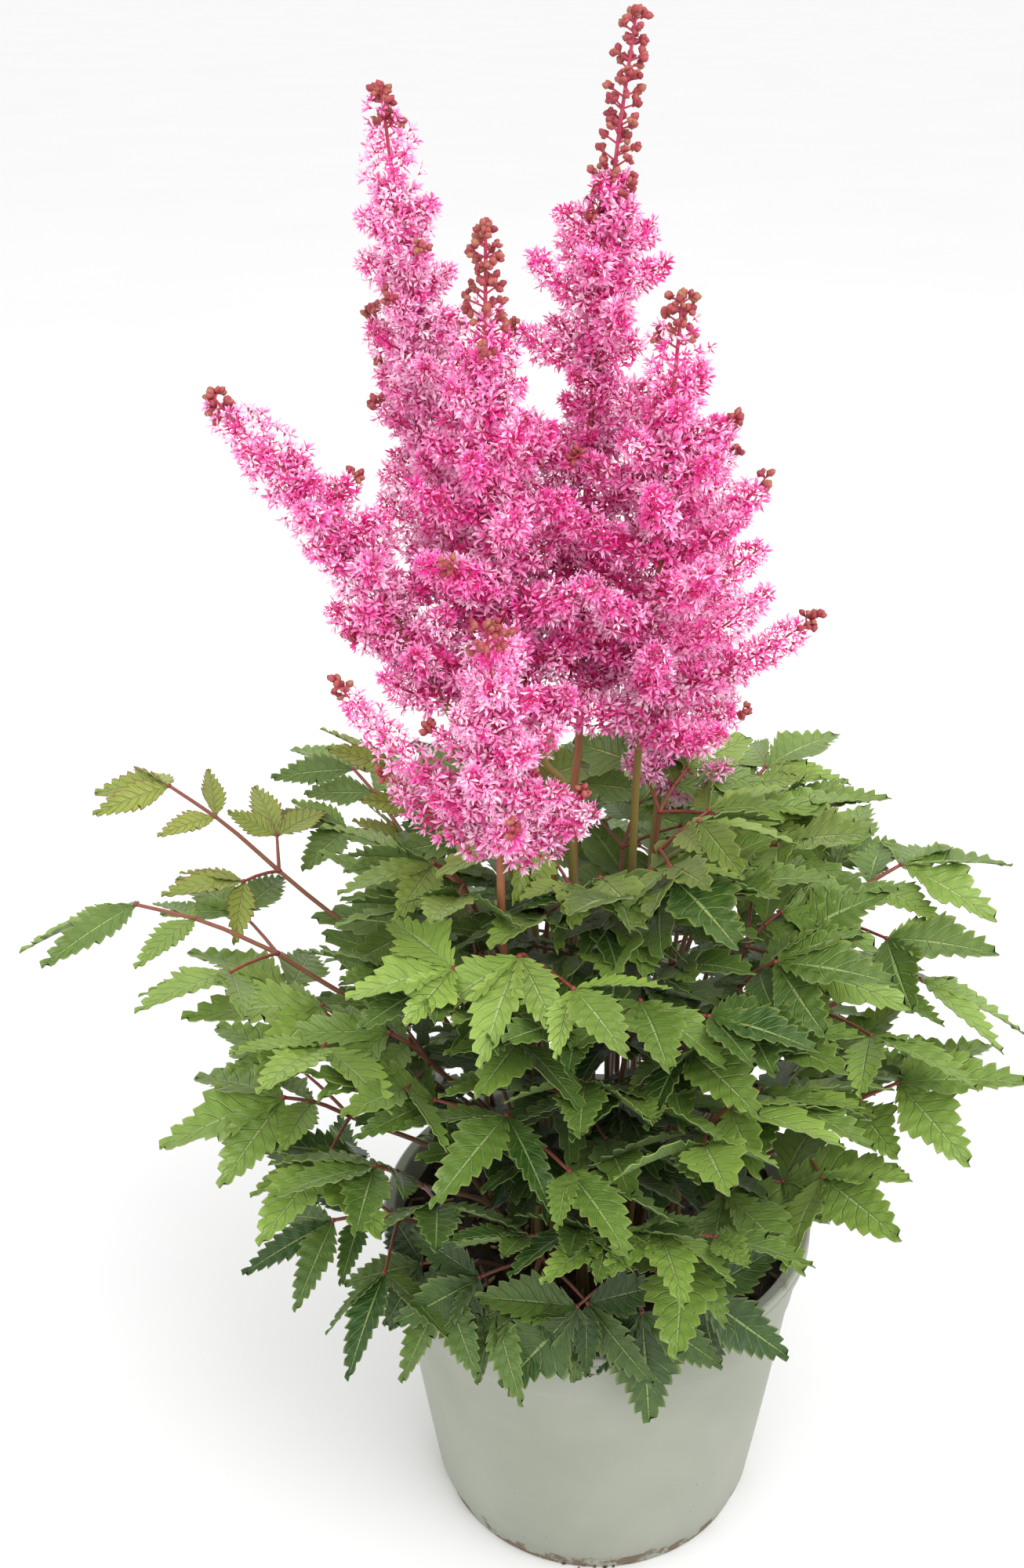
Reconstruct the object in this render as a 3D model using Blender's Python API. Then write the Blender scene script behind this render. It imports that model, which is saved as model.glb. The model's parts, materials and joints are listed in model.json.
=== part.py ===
"""A potted astilbe: grey-green nursery pot, peat, eight flower plumes and a mound of cut leaves.

Everything is in metres with +Z up. The origin lies on the floor under the middle of the pot,
and the photograph was taken from the -Y side. Tables of sizes are written in millimetres.
"""

import math
import random
from collections import namedtuple

import bpy
from mathutils import Matrix, Vector
from mathutils.bvhtree import BVHTree

MM = 0.001
GOLDEN_ANGLE = math.radians(137.5)
FIT_GAP = 0.3
CLEARANCE = 0.5

# The pot, in millimetres.
POT_HEIGHT = 150.0
RIM_RADIUS = 95.0
RIM_DEPTH = 9.0
COLLAR_RADIUS = 91.0
COLLAR_DEPTH = 31.0
BODY_TOP_RADIUS = 88.6
BODY_BOTTOM_RADIUS = 74.5
FOOT_RADIUS = 71.5
FOOT_HEIGHT = 9.0
POT_WALL = 1.8
POT_FLOOR_Z = 3.0
POT_SIDES = 30
DRAIN_COUNT = 6
DRAIN_RADIUS = 5.5
DRAIN_CIRCLE = 52.0
DRAIN_SIDES = 7

# The peat, in millimetres.
SOIL_TOP_Z = 134.0
SOIL_RINGS = (0.42, 0.76)
SOIL_LUMP = 1.8
HOLE_DEPTH = 14.0
HOLE_SIDES = 4
HOLE_PLAY = 0.35
UPRIGHT = 7.0

# Flower stems and their sprays, in millimetres.
STEM_RADIUS = 2.6
STEM_TOP_RADIUS = 1.5
STEM_SIDES = 5
STEM_RINGS = 6
TIP_SIDES = 6
SPRAY_SIDES = 4
SPRAY_RING = 8.6
SPRAY_RADIUS = 7.6
BUD_RADIUS = 3.2
FLORET_REACH = 1.0

# Leaves, in millimetres. Outline pairs are shares of a leaflet's length and half width.
PETIOLE_RADIUS = 1.35
RACHIS_RADIUS = 0.95
PETIOLE_RINGS = 3
RACHIS_SIDES = 4
BLADE = 0.75
MAIN_TEETH = ((0.30, 0.90), (0.46, 0.62), (0.62, 0.80))
SIDE_TEETH = ((0.38, 0.94), (0.58, 0.52))
LEAFLET_APART = 0.9
LEAFLET_RIB = 0.42
LEAFLET_FOLD = 0.18
LEAFLET_SAG = 0.10
LEAFLET_CUT = 0.15
ROOT_WIDTH = 0.7
RACHIS_ARCH = 0.16

Plume = namedtuple("Plume", "name foot route bloom_from reach sprays turn leaders")
Leaf = namedtuple("Leaf", "name azimuth foot fork tip size form roll")

# A plume's foot and route are x, y, z in millimetres, from the peat to its tip. Reach pairs a share
# of the flowering length with how far the side sprays stand out there. A leader is a spray with its
# own place: share, azimuth in degrees, length and rise in millimetres.
PLUMES = (
    Plume("plume_tall_right", (-3, 14),
          ((-11, 8, 326), (-9, 12, 377), (-7, 20, 473), (-3, 25, 535), (2, 28, 588), (9, 30, 636)),
          392, ((0, 56), (0.25, 50), (0.45, 34), (0.60, 25), (0.68, 9), (1, 3)), 8, 40,
          ((0.50, 180, 30, 14), (0.46, -10, 30, 4))),
    Plume("plume_tall_left", (-17, 8),
          ((-32, 8, 340), (-54, 15, 450), (-65, 18, 509), (-72, 20, 555), (-78, 20, 611)),
          432, ((0, 40), (0.25, 26), (0.45, 17), (0.60, 13), (0.8, 9), (1, 3)), 6, 100, ()),
    Plume("plume_centre", (-7, -8),
          ((-12, -8, 341), (-23, -14, 378), (-37, -20, 443), (-41, -24, 502), (-40, -27, 573)),
          384, ((0, 44), (0.3, 42), (0.55, 28), (0.70, 14), (0.82, 6), (1, 3)), 8, 250,
          ((0.10, 190, 62, 26), (0.34, 250, 42, 20))),
    Plume("plume_front", (-24, -33),
          ((-25, -35, 190), (-33, -48, 270), (-36, -56, 320), (-36, -66, 366), (-36, -76, 411),
           (-38, -86, 458)),
          360, ((0, 36), (0.4, 26), (0.7, 16), (0.9, 8), (1, 4)), 6, 10,
          ((0.22, 176, 56, 46), (0.02, 165, 44, 24), (0.04, 20, 32, 16))),
    Plume("plume_right", (11, -4),
          ((13, -3, 341), (15, -5, 387), (19, -8, 439), (22, -8, 498), (25, -8, 547)),
          380, ((0, 46), (0.35, 44), (0.55, 32), (0.72, 20), (0.88, 7), (1, 4)), 7, 305,
          ((0.10, -8, 62, 34), (0.42, 4, 38, 34), (0.60, 8, 24, 22), (0.02, 10, 40, 2))),
    Plume("plume_left", (-21, -16),
          ((-30, -22, 300), (-42, -30, 366), (-66, -34, 425), (-98, -36, 479), (-132, -36, 520)),
          402, ((0, 30), (0.35, 24), (0.6, 17), (0.85, 10), (1, 4)), 6, 80, ()),
    Plume("plume_left_mid", (-9, 18),
          ((-22, 24, 330), (-44, 34, 425), (-68, 40, 486), (-87, 44, 532)),
          420, ((0, 30), (0.4, 22), (0.7, 13), (0.9, 6), (1, 4)), 6, 130, ()),
    Plume("plume_back", (13, 17),
          ((18, 28, 240), (25, 48, 340), (36, 66, 410), (48, 80, 480)),
          330, ((0, 34), (0.3, 30), (0.6, 20), (0.85, 9), (1, 4)), 7, 330, ()),
)

# A leaf's azimuth is in degrees, 0 to the photograph's right and -90 towards it. Foot is its radius
# in the peat; fork and tip are radius and height. Size is its longest leaflet. Roll is in degrees.
LEAVES = (
    Leaf("leaf_01", 186, 34, (132, 286), (238, 302), 52, "long", 8),
    Leaf("leaf_02", 168, 28, (140, 300), (222, 336), 38, "young", -10),
    Leaf("leaf_03", 138, 27, (120, 290), (196, 312), 44, "plain", 5),
    Leaf("leaf_04", 149, 22, (80, 300), (130, 352), 38, "young", 12),
    Leaf("leaf_05", 200, 40, (108, 222), (184, 232), 50, "broad", -6),
    Leaf("leaf_06", 221, 40, (92, 206), (158, 236), 48, "plain", 10),
    Leaf("leaf_07", 205, 52, (92, 170), (166, 162), 46, "long", -8),
    Leaf("leaf_08", 231, 55, (76, 166), (130, 130), 42, "plain", 6),
    Leaf("leaf_09", 253, 56, (74, 180), (116, 130), 42, "plain", -5),
    Leaf("leaf_10", 282, 54, (76, 182), (114, 118), 46, "broad", 4),
    Leaf("leaf_11", 247, 40, (78, 246), (138, 262), 52, "long", -12),
    Leaf("leaf_12", 318, 40, (62, 236), (136, 258), 54, "long", -6),
    Leaf("leaf_13", 311, 50, (70, 196), (128, 196), 50, "broad", 8),
    Leaf("leaf_14", 345, 46, (86, 204), (170, 252), 52, "broad", 12),
    Leaf("leaf_15", 0, 34, (92, 254), (184, 258), 52, "long", -8),
    Leaf("leaf_16", 16, 28, (100, 282), (180, 304), 50, "broad", 6),
    Leaf("leaf_17", 42, 26, (74, 318), (136, 340), 44, "plain", -8),
    Leaf("leaf_18", 330, 22, (64, 286), (120, 312), 46, "broad", 10),
    Leaf("leaf_19", 282, 26, (66, 296), (116, 306), 46, "broad", -4),
    Leaf("leaf_20", 229, 26, (76, 296), (128, 316), 42, "plain", 6),
    Leaf("leaf_21", 68, 34, (104, 262), (178, 268), 50, "long", -6),
    Leaf("leaf_22", 96, 28, (96, 284), (164, 310), 48, "plain", 8),
    Leaf("leaf_23", 122, 42, (102, 226), (178, 222), 50, "broad", -8),
    Leaf("leaf_24", 84, 50, (84, 196), (150, 176), 48, "plain", 10),
    Leaf("leaf_25", 250, 22, (76, 322), (124, 314), 44, "broad", 4),
    Leaf("leaf_26", 267, 36, (70, 258), (116, 290), 42, "plain", -6),
    Leaf("leaf_27", 297, 30, (58, 264), (120, 286), 50, "plain", 8),
    Leaf("leaf_28", 266, 50, (88, 206), (122, 230), 38, "plain", 6),
    Leaf("leaf_29", 284, 46, (90, 210), (126, 222), 40, "plain", -8),
    Leaf("leaf_30", 208, 18, (60, 328), (112, 344), 42, "plain", 8),
    Leaf("leaf_31", 200, 34, (108, 266), (168, 284), 54, "plain", 10),
    Leaf("leaf_32", 300, 14, (42, 330), (94, 350), 44, "broad", -8),
    Leaf("leaf_33", 18, 18, (56, 322), (112, 342), 44, "broad", -10),
)

# Width is a leaflet's, as a share of its length; arm is the side branches' length in leaflets, and
# each of them carries one or two.
FORMS = {
    "long": {"width": 0.38, "arm": 0.66, "arm_leaflets": 2},
    "plain": {"width": 0.46, "arm": 0.50, "arm_leaflets": 1},
    "broad": {"width": 0.54, "arm": 0.50, "arm_leaflets": 1},
    "young": {"width": 0.42, "arm": 0.44, "arm_leaflets": 1},
}
ARM_SPREAD = math.radians(60)
ARM_RISE = 0.10
LEAFLET_SPREAD = math.radians(46)
SIDE_LEAFLET = 0.74
ARM_LEAFLET = 0.88


def clear_scene():
    for obj in list(bpy.data.objects):
        bpy.data.objects.remove(obj)


def material(name, colour, roughness):
    made = bpy.data.materials.new(name)
    made.use_nodes = True
    shader = made.node_tree.nodes["Principled BSDF"]
    shader.inputs["Base Color"].default_value = (*colour, 1)
    shader.inputs["Roughness"].default_value = roughness
    shader.inputs["Metallic"].default_value = 0
    return made


def new_object(name, points, faces, finish):
    """A mesh object in the scene from points in millimetres."""
    mesh = bpy.data.meshes.new(name)
    mesh.from_pydata([Vector(p) * MM for p in points], [], faces)
    mesh.update()
    mesh.materials.append(finish)
    obj = bpy.data.objects.new(name, mesh)
    bpy.context.scene.collection.objects.link(obj)
    return obj


def combine(obj, operation, others):
    """One Boolean between the object and all the others, applied, and the others removed."""
    if not others:
        return
    group = bpy.data.collections.new(obj.name + "_others")
    bpy.context.scene.collection.children.link(group)
    for other in others:
        bpy.context.scene.collection.objects.unlink(other)
        group.objects.link(other)
    modifier = obj.modifiers.new("combine", "BOOLEAN")
    modifier.operation = operation
    modifier.operand_type = "COLLECTION"
    modifier.collection = group
    modifier.solver = "MANIFOLD"
    bpy.context.view_layer.update()
    graph = bpy.context.evaluated_depsgraph_get()
    mesh = bpy.data.meshes.new_from_object(obj.evaluated_get(graph))
    obj.modifiers.remove(modifier)
    obj.data = mesh
    for other in others:
        bpy.data.objects.remove(other)
    bpy.data.collections.remove(group)


def smooth_route(points, count):
    """Evenly shared points along a smooth curve through the given ones."""
    knots = [Vector(p) for p in points]
    knots = [2 * knots[0] - knots[1], *knots, 2 * knots[-1] - knots[-2]]
    fine = []
    steps = 12
    for a, b, c, d in zip(knots, knots[1:], knots[2:], knots[3:]):
        for s in range(steps):
            t = s / steps
            fine.append(0.5 * (2 * b + (c - a) * t + (2 * a - 5 * b + 4 * c - d) * t ** 2
                               + (3 * b - a - 3 * c + d) * t ** 3))
    fine.append(knots[-2])
    lengths = [0.0]
    for a, b in zip(fine, fine[1:]):
        lengths.append(lengths[-1] + (b - a).length)
    made = []
    k = 0
    for i in range(count):
        wanted = lengths[-1] * i / (count - 1)
        while k < len(fine) - 2 and lengths[k + 1] < wanted:
            k += 1
        share = (wanted - lengths[k]) / max(lengths[k + 1] - lengths[k], 1e-9)
        made.append(fine[k].lerp(fine[k + 1], min(share, 1)))
    return made


def route_length(points):
    return sum((b - a).length for a, b in zip(points, points[1:]))


def frames_along(points):
    """A side and an up direction at each point, carried along without twist."""
    last = len(points) - 1
    ways = [(points[min(i + 1, last)] - points[max(i - 1, 0)]).normalized() for i in range(last + 1)]
    side = Vector((1, 0, 0)) if abs(ways[0].x) < 0.8 else Vector((0, 1, 0))
    made = []
    for way in ways:
        side = (side - way * side.dot(way)).normalized()
        made.append((side, way.cross(side)))
    return made


def tube(points, radii, sides, florets=None):
    """A closed tube. Florets gives how far each ring's raised corners stand out of it."""
    last = len(points) - 1

    def is_raised(i, j):
        return florets is not None and 0 < i < last and (i + j) % 2 == 0

    verts = [points[0]]
    for i, (point, (side, up)) in enumerate(zip(points, frames_along(points))):
        for j in range(sides):
            angle = 2 * math.pi * j / sides
            radius = radii[i] + (florets[i] if is_raised(i, j) else 0)
            verts.append(point + (side * math.cos(angle) + up * math.sin(angle)) * radius)
    verts.append(points[-1] + (points[-1] - points[-2]).normalized() * radii[-1] * 0.6)
    top = len(verts) - 1
    faces = []
    for j in range(sides):
        k = (j + 1) % sides
        faces.append((0, 1 + k, 1 + j))
        faces.append((top, top - sides + j, top - sides + k))
        for i in range(last):
            a, b = 1 + i * sides + j, 1 + i * sides + k
            c, d = a + sides, b + sides
            if is_raised(i, j) or is_raised(i + 1, k):
                faces += [(a, b, c), (b, d, c)]
            else:
                faces += [(a, b, d), (a, d, c)]
    return verts, faces


def spray(points, root_radius, tip_radius, sides, grow=0.0):
    """A tapering spray of florets that stand out of a slimmer core."""
    count = max(3, round(route_length(points) / SPRAY_RING) + 1)
    way = smooth_route(points, count)
    radii, florets = [], []
    for i in range(count):
        full = root_radius + (tip_radius - root_radius) * (i / (count - 1)) ** 1.4
        radii.append(full * 0.55 + grow)
        florets.append(full * FLORET_REACH)
    radii[0] = STEM_TOP_RADIUS + grow
    return tube(way, radii, sides, florets)


def at_share(pairs, share):
    """The value at a share, along straight lines between the given pairs."""
    for (a, low), (b, high) in zip(pairs, pairs[1:]):
        if share <= b:
            return low + (high - low) * (share - a) / (b - a)
    return pairs[-1][1]


def plume_route(plume):
    """The stem above its upright foot, to its tip."""
    x, y = plume.foot
    return smooth_route(((x, y, SOIL_TOP_Z + UPRIGHT), *plume.route), 60)


def flowering_part(plume):
    return [p for p in plume_route(plume) if p.z >= plume.bloom_from]


def tip_share(plume):
    """The share of the flowering length from which the plume's own tip carries florets."""
    return next((share for share, reach in plume.reach if reach < 30), 0.5)


def stem_points(plume):
    """The bare stem's few points, up to where the plume's own tip starts to carry florets."""
    flowering = flowering_part(plume)
    top = flowering[round(tip_share(plume) * (len(flowering) - 1))]
    bare = [p for p in plume_route(plume) if p.z <= top.z]
    points = smooth_route(bare[::6] + [top], STEM_RINGS)
    points.insert(0, Vector((*plume.foot, SOIL_TOP_Z - HOLE_DEPTH + 1)))
    return points


def plume_stem(plume):
    radii = [STEM_RADIUS + (STEM_TOP_RADIUS - STEM_RADIUS) * i / STEM_RINGS for i in range(STEM_RINGS + 1)]
    return tube(stem_points(plume), radii, STEM_SIDES)


def on_stem(plume, point):
    """The nearest place on the stem's straight stretches, so that a spray's root is sunk in it."""
    stem = stem_points(plume)
    if point.z >= stem[-1].z:
        return point
    for low, high in zip(stem, stem[1:]):
        if low.z <= point.z <= high.z:
            return low.lerp(high, (point.z - low.z) / (high.z - low.z))
    return point


def plume_tip(plume):
    """The plume's own spray, from where the side sprays get short to its bud tip."""
    flowering = flowering_part(plume)
    first = max(round(tip_share(plume) * (len(flowering) - 1)) - 1, 0)
    return spray(flowering[first:-1:2] + [flowering[-1]], SPRAY_RADIUS * 1.05, BUD_RADIUS, TIP_SIDES)


def spray_routes(plume):
    """The side sprays of a plume: root, middle and tip, with a radius for each."""
    rng = random.Random(plume.name)
    flowering = flowering_part(plume)
    places = []
    for share, azimuth, length, rise in plume.leaders:
        places.append((share, math.radians(azimuth), length, rise))
    for i in range(plume.sprays):
        share = 0.72 * (i / plume.sprays) ** 1.1
        azimuth = math.radians(plume.turn) + GOLDEN_ANGLE * i
        length = at_share(plume.reach, share) * rng.uniform(0.88, 1.06)
        places.append((share, azimuth, length, length * rng.uniform(0.42, 0.62)))
    made = []
    for share, azimuth, length, rise in places:
        root = on_stem(plume, flowering[min(round(share * (len(flowering) - 1)), len(flowering) - 2)])
        out = Vector((math.cos(azimuth), math.sin(azimuth), 0))
        middle = root + out * length * 0.52 + Vector((0, 0, rise * 0.34))
        tip = root + out * length + Vector((0, 0, rise))
        made.append((root, middle, tip, SPRAY_RADIUS * min(1.0, 0.6 + length / 100)))
    return made


def leaf_axes(leaf):
    """Foot, fork and tip of a leaf in millimetres, with its own along, across and up."""
    angle = math.radians(leaf.azimuth)
    out = Vector((math.cos(angle), math.sin(angle), 0))
    foot = out * leaf.foot + Vector((0, 0, SOIL_TOP_Z))
    fork = out * leaf.fork[0] + Vector((0, 0, leaf.fork[1]))
    tip = out * leaf.tip[0] + Vector((0, 0, leaf.tip[1]))
    along = (tip - fork).normalized()
    level = Vector((-math.sin(angle), math.cos(angle), 0))
    across = Matrix.Rotation(math.radians(leaf.roll), 3, along) @ level
    return foot, fork, tip, along, across, along.cross(across)


def rachis_end(leaf):
    """Where the last leaflets spring from: the rachis arches, so they point further down than it."""
    _, fork, tip, along, _, _ = leaf_axes(leaf)
    span = (tip - fork).length
    return fork + along * max(span - leaf.size, 8) + Vector((0, 0, RACHIS_ARCH * span))


def leaf_limbs(leaf):
    """The petiole with its rachis, and the two arms at its fork: points, radii and blade of each.

    A blade is its root, way, up and fingers, and a finger is a turn, a length and a width.
    """
    rng = random.Random(leaf.name)
    form = FORMS[leaf.form]
    foot, fork, tip, along, _, up = leaf_axes(leaf)

    def finger(turn, scale):
        length = leaf.size * scale * rng.uniform(0.93, 1.04)
        return turn * rng.uniform(0.92, 1.08), length, length * form["width"] * rng.uniform(0.94, 1.06)

    out = Vector((fork.x, fork.y, 0)).normalized()
    middle = foot + out * (leaf.fork[0] - leaf.foot) * 0.36 + Vector((0, 0, (fork.z - foot.z) * 0.62))
    route = smooth_route((foot + Vector((0, 0, UPRIGHT)), middle, fork), PETIOLE_RINGS)
    points = [foot - Vector((0, 0, HOLE_DEPTH - 1)), *route]
    last = len(points) - 1
    radii = [PETIOLE_RADIUS + (RACHIS_RADIUS - PETIOLE_RADIUS) * i / last for i in range(last + 1)]
    trio = (finger(-LEAFLET_SPREAD, SIDE_LEAFLET), finger(0, 1), finger(LEAFLET_SPREAD, SIDE_LEAFLET))
    end = rachis_end(leaf)
    limbs = [(points, radii, (end, (tip - end).normalized(), up, trio))]
    for sign in (1, -1):
        way = (Matrix.Rotation(ARM_SPREAD * sign, 3, up) @ along + up * ARM_RISE).normalized()
        end = fork + way * leaf.size * form["arm"]
        lean = (up + up.cross(along) * sign * 0.2).normalized()
        leaflets = [finger(-sign * 0.2, ARM_LEAFLET), finger(sign * LEAFLET_SPREAD, SIDE_LEAFLET)][::sign]
        if form["arm_leaflets"] == 1:
            leaflets = [finger(0, 1.06)]
        limbs.append(([fork - way * 0.4], [RACHIS_RADIUS * 0.95], (end, way, lean, tuple(leaflets))))
    return limbs


def blade(root, way, up, fingers, swing=(0, 0), scale=1.0, grow=0.0):
    """Leaflets cut nearly to their shared root, as one thin blade with arched, folded fingers.

    It is closed but for its root, whose corners come first: top left, top right, bottom right
    and bottom left, seen along the blade.
    """
    across = up.cross(way).normalized()
    turned = Matrix.Rotation(swing[1], 3, way) @ Matrix.Rotation(swing[0], 3, across)
    way, across = turned @ way, turned @ across
    up = way.cross(across).normalized()
    flat = [(Vector((0, ROOT_WIDTH)), 0.0), (Vector((0, -ROOT_WIDTH)), 0.0)]
    left, right = 0, 1
    ribs, rings = [], []

    def add(finger, u, w):
        turn, length, width = finger
        length, half = length * scale + grow, width * scale / 2 + grow
        ahead = Vector((math.cos(turn), math.sin(turn)))
        beside = Vector((-ahead.y, ahead.x))
        gaps = [abs(one[0] - turn) / 2 for one in fingers if (one[0] - turn) * w > 0]
        if gaps:
            w = math.copysign(min(abs(w), math.tan(min(gaps)) * length * u * LEAFLET_APART / half), w)
        lift = LEAFLET_FOLD * abs(w) * half - LEAFLET_SAG * length * u * u
        flat.append((ahead * length * u + beside * half * w, lift))
        return len(flat) - 1

    last = len(fingers) - 1
    cuts = []
    for i, finger in enumerate(fingers):
        teeth = MAIN_TEETH if len(fingers) == 3 and i == 1 else SIDE_TEETH
        ring = [left if i == 2 else right] + cuts[-1:]
        ring += [add(finger, u, -w) for u, w in teeth]
        ring.append(add(finger, 1.0, 0.0))
        ring += [add(finger, u, w) for u, w in reversed(teeth)]
        if i < last:
            between = (finger[0] + fingers[i + 1][0]) / 2
            depth = LEAFLET_CUT * finger[1] * scale + grow
            flat.append((Vector((math.cos(between), math.sin(between))) * depth, 0.0))
            cuts.append(len(flat) - 1)
            ring.append(cuts[-1])
        if i == min(1, last):
            ring.append(left)
        rings.append(ring)
        ribs.append(add(finger, LEAFLET_RIB, 0.0))

    thick = BLADE / 2 + grow
    places = [root + way * p.x + across * p.y + up * lift for p, lift in flat]
    verts = [places[left] + up * thick, places[right] + up * thick,
             places[right] - up * thick, places[left] - up * thick]
    verts += [p + up * thick for p in places[2:]] + [p - up * thick for p in places[2:]]
    above = [0, 1, *range(4, len(flat) + 2)]
    below = [3, 2, *range(len(flat) + 2, 2 * len(flat))]
    edges = [{a, b} for ring in rings for a, b in zip(ring, ring[1:] + ring[:1])]
    faces = []
    for ring, rib in zip(rings, ribs):
        for a, b in zip(ring, ring[1:] + ring[:1]):
            faces.append((above[a], above[b], above[rib]))
            faces.append((below[b], below[a], below[rib]))
            if {a, b} != {left, right} and edges.count({a, b}) == 1:
                faces += [(above[b], above[a], below[a]), (above[b], below[a], below[b])]
    return verts, faces


def limb(points, radii, leaf_blade):
    """A stalk that runs into its blade, as one closed shape."""
    blade_verts, blade_faces = leaf_blade
    verts = [points[0]]
    for point, radius, (side, up) in zip(points, radii, frames_along([*points, blade_verts[0]])):
        for j in range(RACHIS_SIDES):
            angle = 2 * math.pi * (j + 0.5) / RACHIS_SIDES
            verts.append(point + (side * math.cos(angle) + up * math.sin(angle)) * radius)
    rings = [[1 + i * RACHIS_SIDES + j for j in range(RACHIS_SIDES)] for i in range(len(points))]
    start = len(verts)
    verts += blade_verts
    nearest = min(range(4), key=lambda k: sum((verts[rings[-1][j]] - blade_verts[(j + k) % 4]).length
                                              for j in range(4)))
    rings.append([start + (j + nearest) % 4 for j in range(4)])
    faces = [tuple(start + k for k in face) for face in blade_faces]
    for j in range(RACHIS_SIDES):
        k = (j + 1) % RACHIS_SIDES
        faces.append((0, rings[0][k], rings[0][j]))
        for low, high in zip(rings, rings[1:]):
            faces += [(low[j], low[k], high[k]), (low[j], high[k], high[j])]
    return verts, faces


class Crowd:
    """What is already placed, so that a new piece can be bent clear of the other nodes."""

    def __init__(self):
        self.pieces = []

    def box(self, verts):
        return [(min(v[k] for v in verts), max(v[k] for v in verts)) for k in range(3)]

    def add(self, node, verts, faces):
        self.pieces.append((node, self.box(verts), BVHTree.FromPolygons(verts, faces)))

    def is_clear(self, node, verts, faces):
        box = self.box(verts)
        tree = BVHTree.FromPolygons(verts, faces)
        for other, sides, shape in self.pieces:
            if other == node or any(a[0] > b[1] or a[1] < b[0] for a, b in zip(box, sides)):
                continue
            if tree.overlap(shape):
                return False
        return True


def turned_solid(name, profile, sides, finish, place=(0, 0)):
    """A profile of (radius, height) pairs turned about the Z axis, its ends on the axis."""
    verts, faces, rings = [], [], []
    for radius, height in profile:
        if radius == 0:
            rings.append([len(verts)])
            verts.append((place[0], place[1], height))
            continue
        rings.append(list(range(len(verts), len(verts) + sides)))
        for j in range(sides):
            angle = 2 * math.pi * j / sides
            verts.append((place[0] + radius * math.cos(angle), place[1] + radius * math.sin(angle), height))
    for low, high in zip(rings, rings[1:]):
        for j in range(sides):
            k = (j + 1) % sides
            if len(low) == 1:
                faces.append((low[0], high[k], high[j]))
            elif len(high) == 1:
                faces.append((low[j], low[k], high[0]))
            else:
                faces.append((low[j], low[k], high[k], high[j]))
    return new_object(name, verts, faces, finish)


def wall_radius(height):
    """The outer radius of the pot's tapering body at a height."""
    share = (height - FOOT_HEIGHT) / (POT_HEIGHT - COLLAR_DEPTH - FOOT_HEIGHT)
    return BODY_BOTTOM_RADIUS + (BODY_TOP_RADIUS - BODY_BOTTOM_RADIUS) * share


def build_pot():
    finish = material("pot_plastic", (0.42, 0.46, 0.38), 0.45)
    step_z = POT_HEIGHT - COLLAR_DEPTH
    rim_z = POT_HEIGHT - RIM_DEPTH
    profile = (
        (0, 0), (FOOT_RADIUS, 0), (FOOT_RADIUS + 1.2, FOOT_HEIGHT - 2), (BODY_BOTTOM_RADIUS, FOOT_HEIGHT),
        (BODY_TOP_RADIUS, step_z - 1), (COLLAR_RADIUS - 1.2, step_z + 1), (COLLAR_RADIUS, rim_z),
        (RIM_RADIUS, rim_z), (RIM_RADIUS, POT_HEIGHT - 1.4), (RIM_RADIUS - 1.6, POT_HEIGHT),
        (COLLAR_RADIUS - POT_WALL, POT_HEIGHT), (COLLAR_RADIUS - 1.2 - POT_WALL, step_z + 1),
        (BODY_TOP_RADIUS - POT_WALL, step_z - 1), (FOOT_RADIUS - POT_WALL, POT_FLOOR_Z), (0, POT_FLOOR_Z),
    )
    pot = turned_solid("pot", profile, POT_SIDES, finish)
    drains = []
    for i in range(DRAIN_COUNT):
        angle = 2 * math.pi * (i + 0.5) / DRAIN_COUNT
        place = (DRAIN_CIRCLE * math.cos(angle), DRAIN_CIRCLE * math.sin(angle))
        outline = ((0, -4), (DRAIN_RADIUS, -4), (DRAIN_RADIUS, POT_FLOOR_Z + 4), (0, POT_FLOOR_Z + 4))
        drains.append(turned_solid(f"drain_{i}", outline, DRAIN_SIDES, finish, place))
    combine(pot, "DIFFERENCE", drains)
    return pot


def build_soil(feet):
    """The peat, lumpy on top, with a plain hole for every stem. Feet are (x, y, stem radius)."""
    finish = material("peat", (0.045, 0.028, 0.016), 0.95)
    step_z = POT_HEIGHT - COLLAR_DEPTH
    inset = POT_WALL + FIT_GAP
    edge = COLLAR_RADIUS - 1.2 - inset
    profile = [(0, POT_FLOOR_Z + FIT_GAP), (FOOT_RADIUS - inset - 0.1, POT_FLOOR_Z + FIT_GAP),
               (BODY_TOP_RADIUS - inset, step_z - 1), (edge, step_z + 1.2), (edge, SOIL_TOP_Z - 1.5)]
    profile += [(edge * share, SOIL_TOP_Z) for share in reversed(SOIL_RINGS)]
    profile.append((0, SOIL_TOP_Z))
    soil = turned_solid("soil", profile, POT_SIDES, finish)
    for vert in soil.data.vertices:
        x, y, z = vert.co / MM
        if z > SOIL_TOP_Z - 0.5:
            lump = math.sin(x * 0.16 + 1) * math.cos(y * 0.19 - 2) + 0.5 * math.sin(x * 0.31 - y * 0.27)
            vert.co.z += SOIL_LUMP * lump * MM
    holes = []
    for i, (x, y, radius) in enumerate(feet):
        wide = (radius + HOLE_PLAY) / math.cos(math.pi / HOLE_SIDES)
        outline = ((0, SOIL_TOP_Z - HOLE_DEPTH), (wide, SOIL_TOP_Z - HOLE_DEPTH),
                   (wide, SOIL_TOP_Z + 9), (0, SOIL_TOP_Z + 9))
        holes.append(turned_solid(f"hole_{i}", outline, HOLE_SIDES, finish, (x, y)))
    combine(soil, "DIFFERENCE", holes)
    return soil


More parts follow.
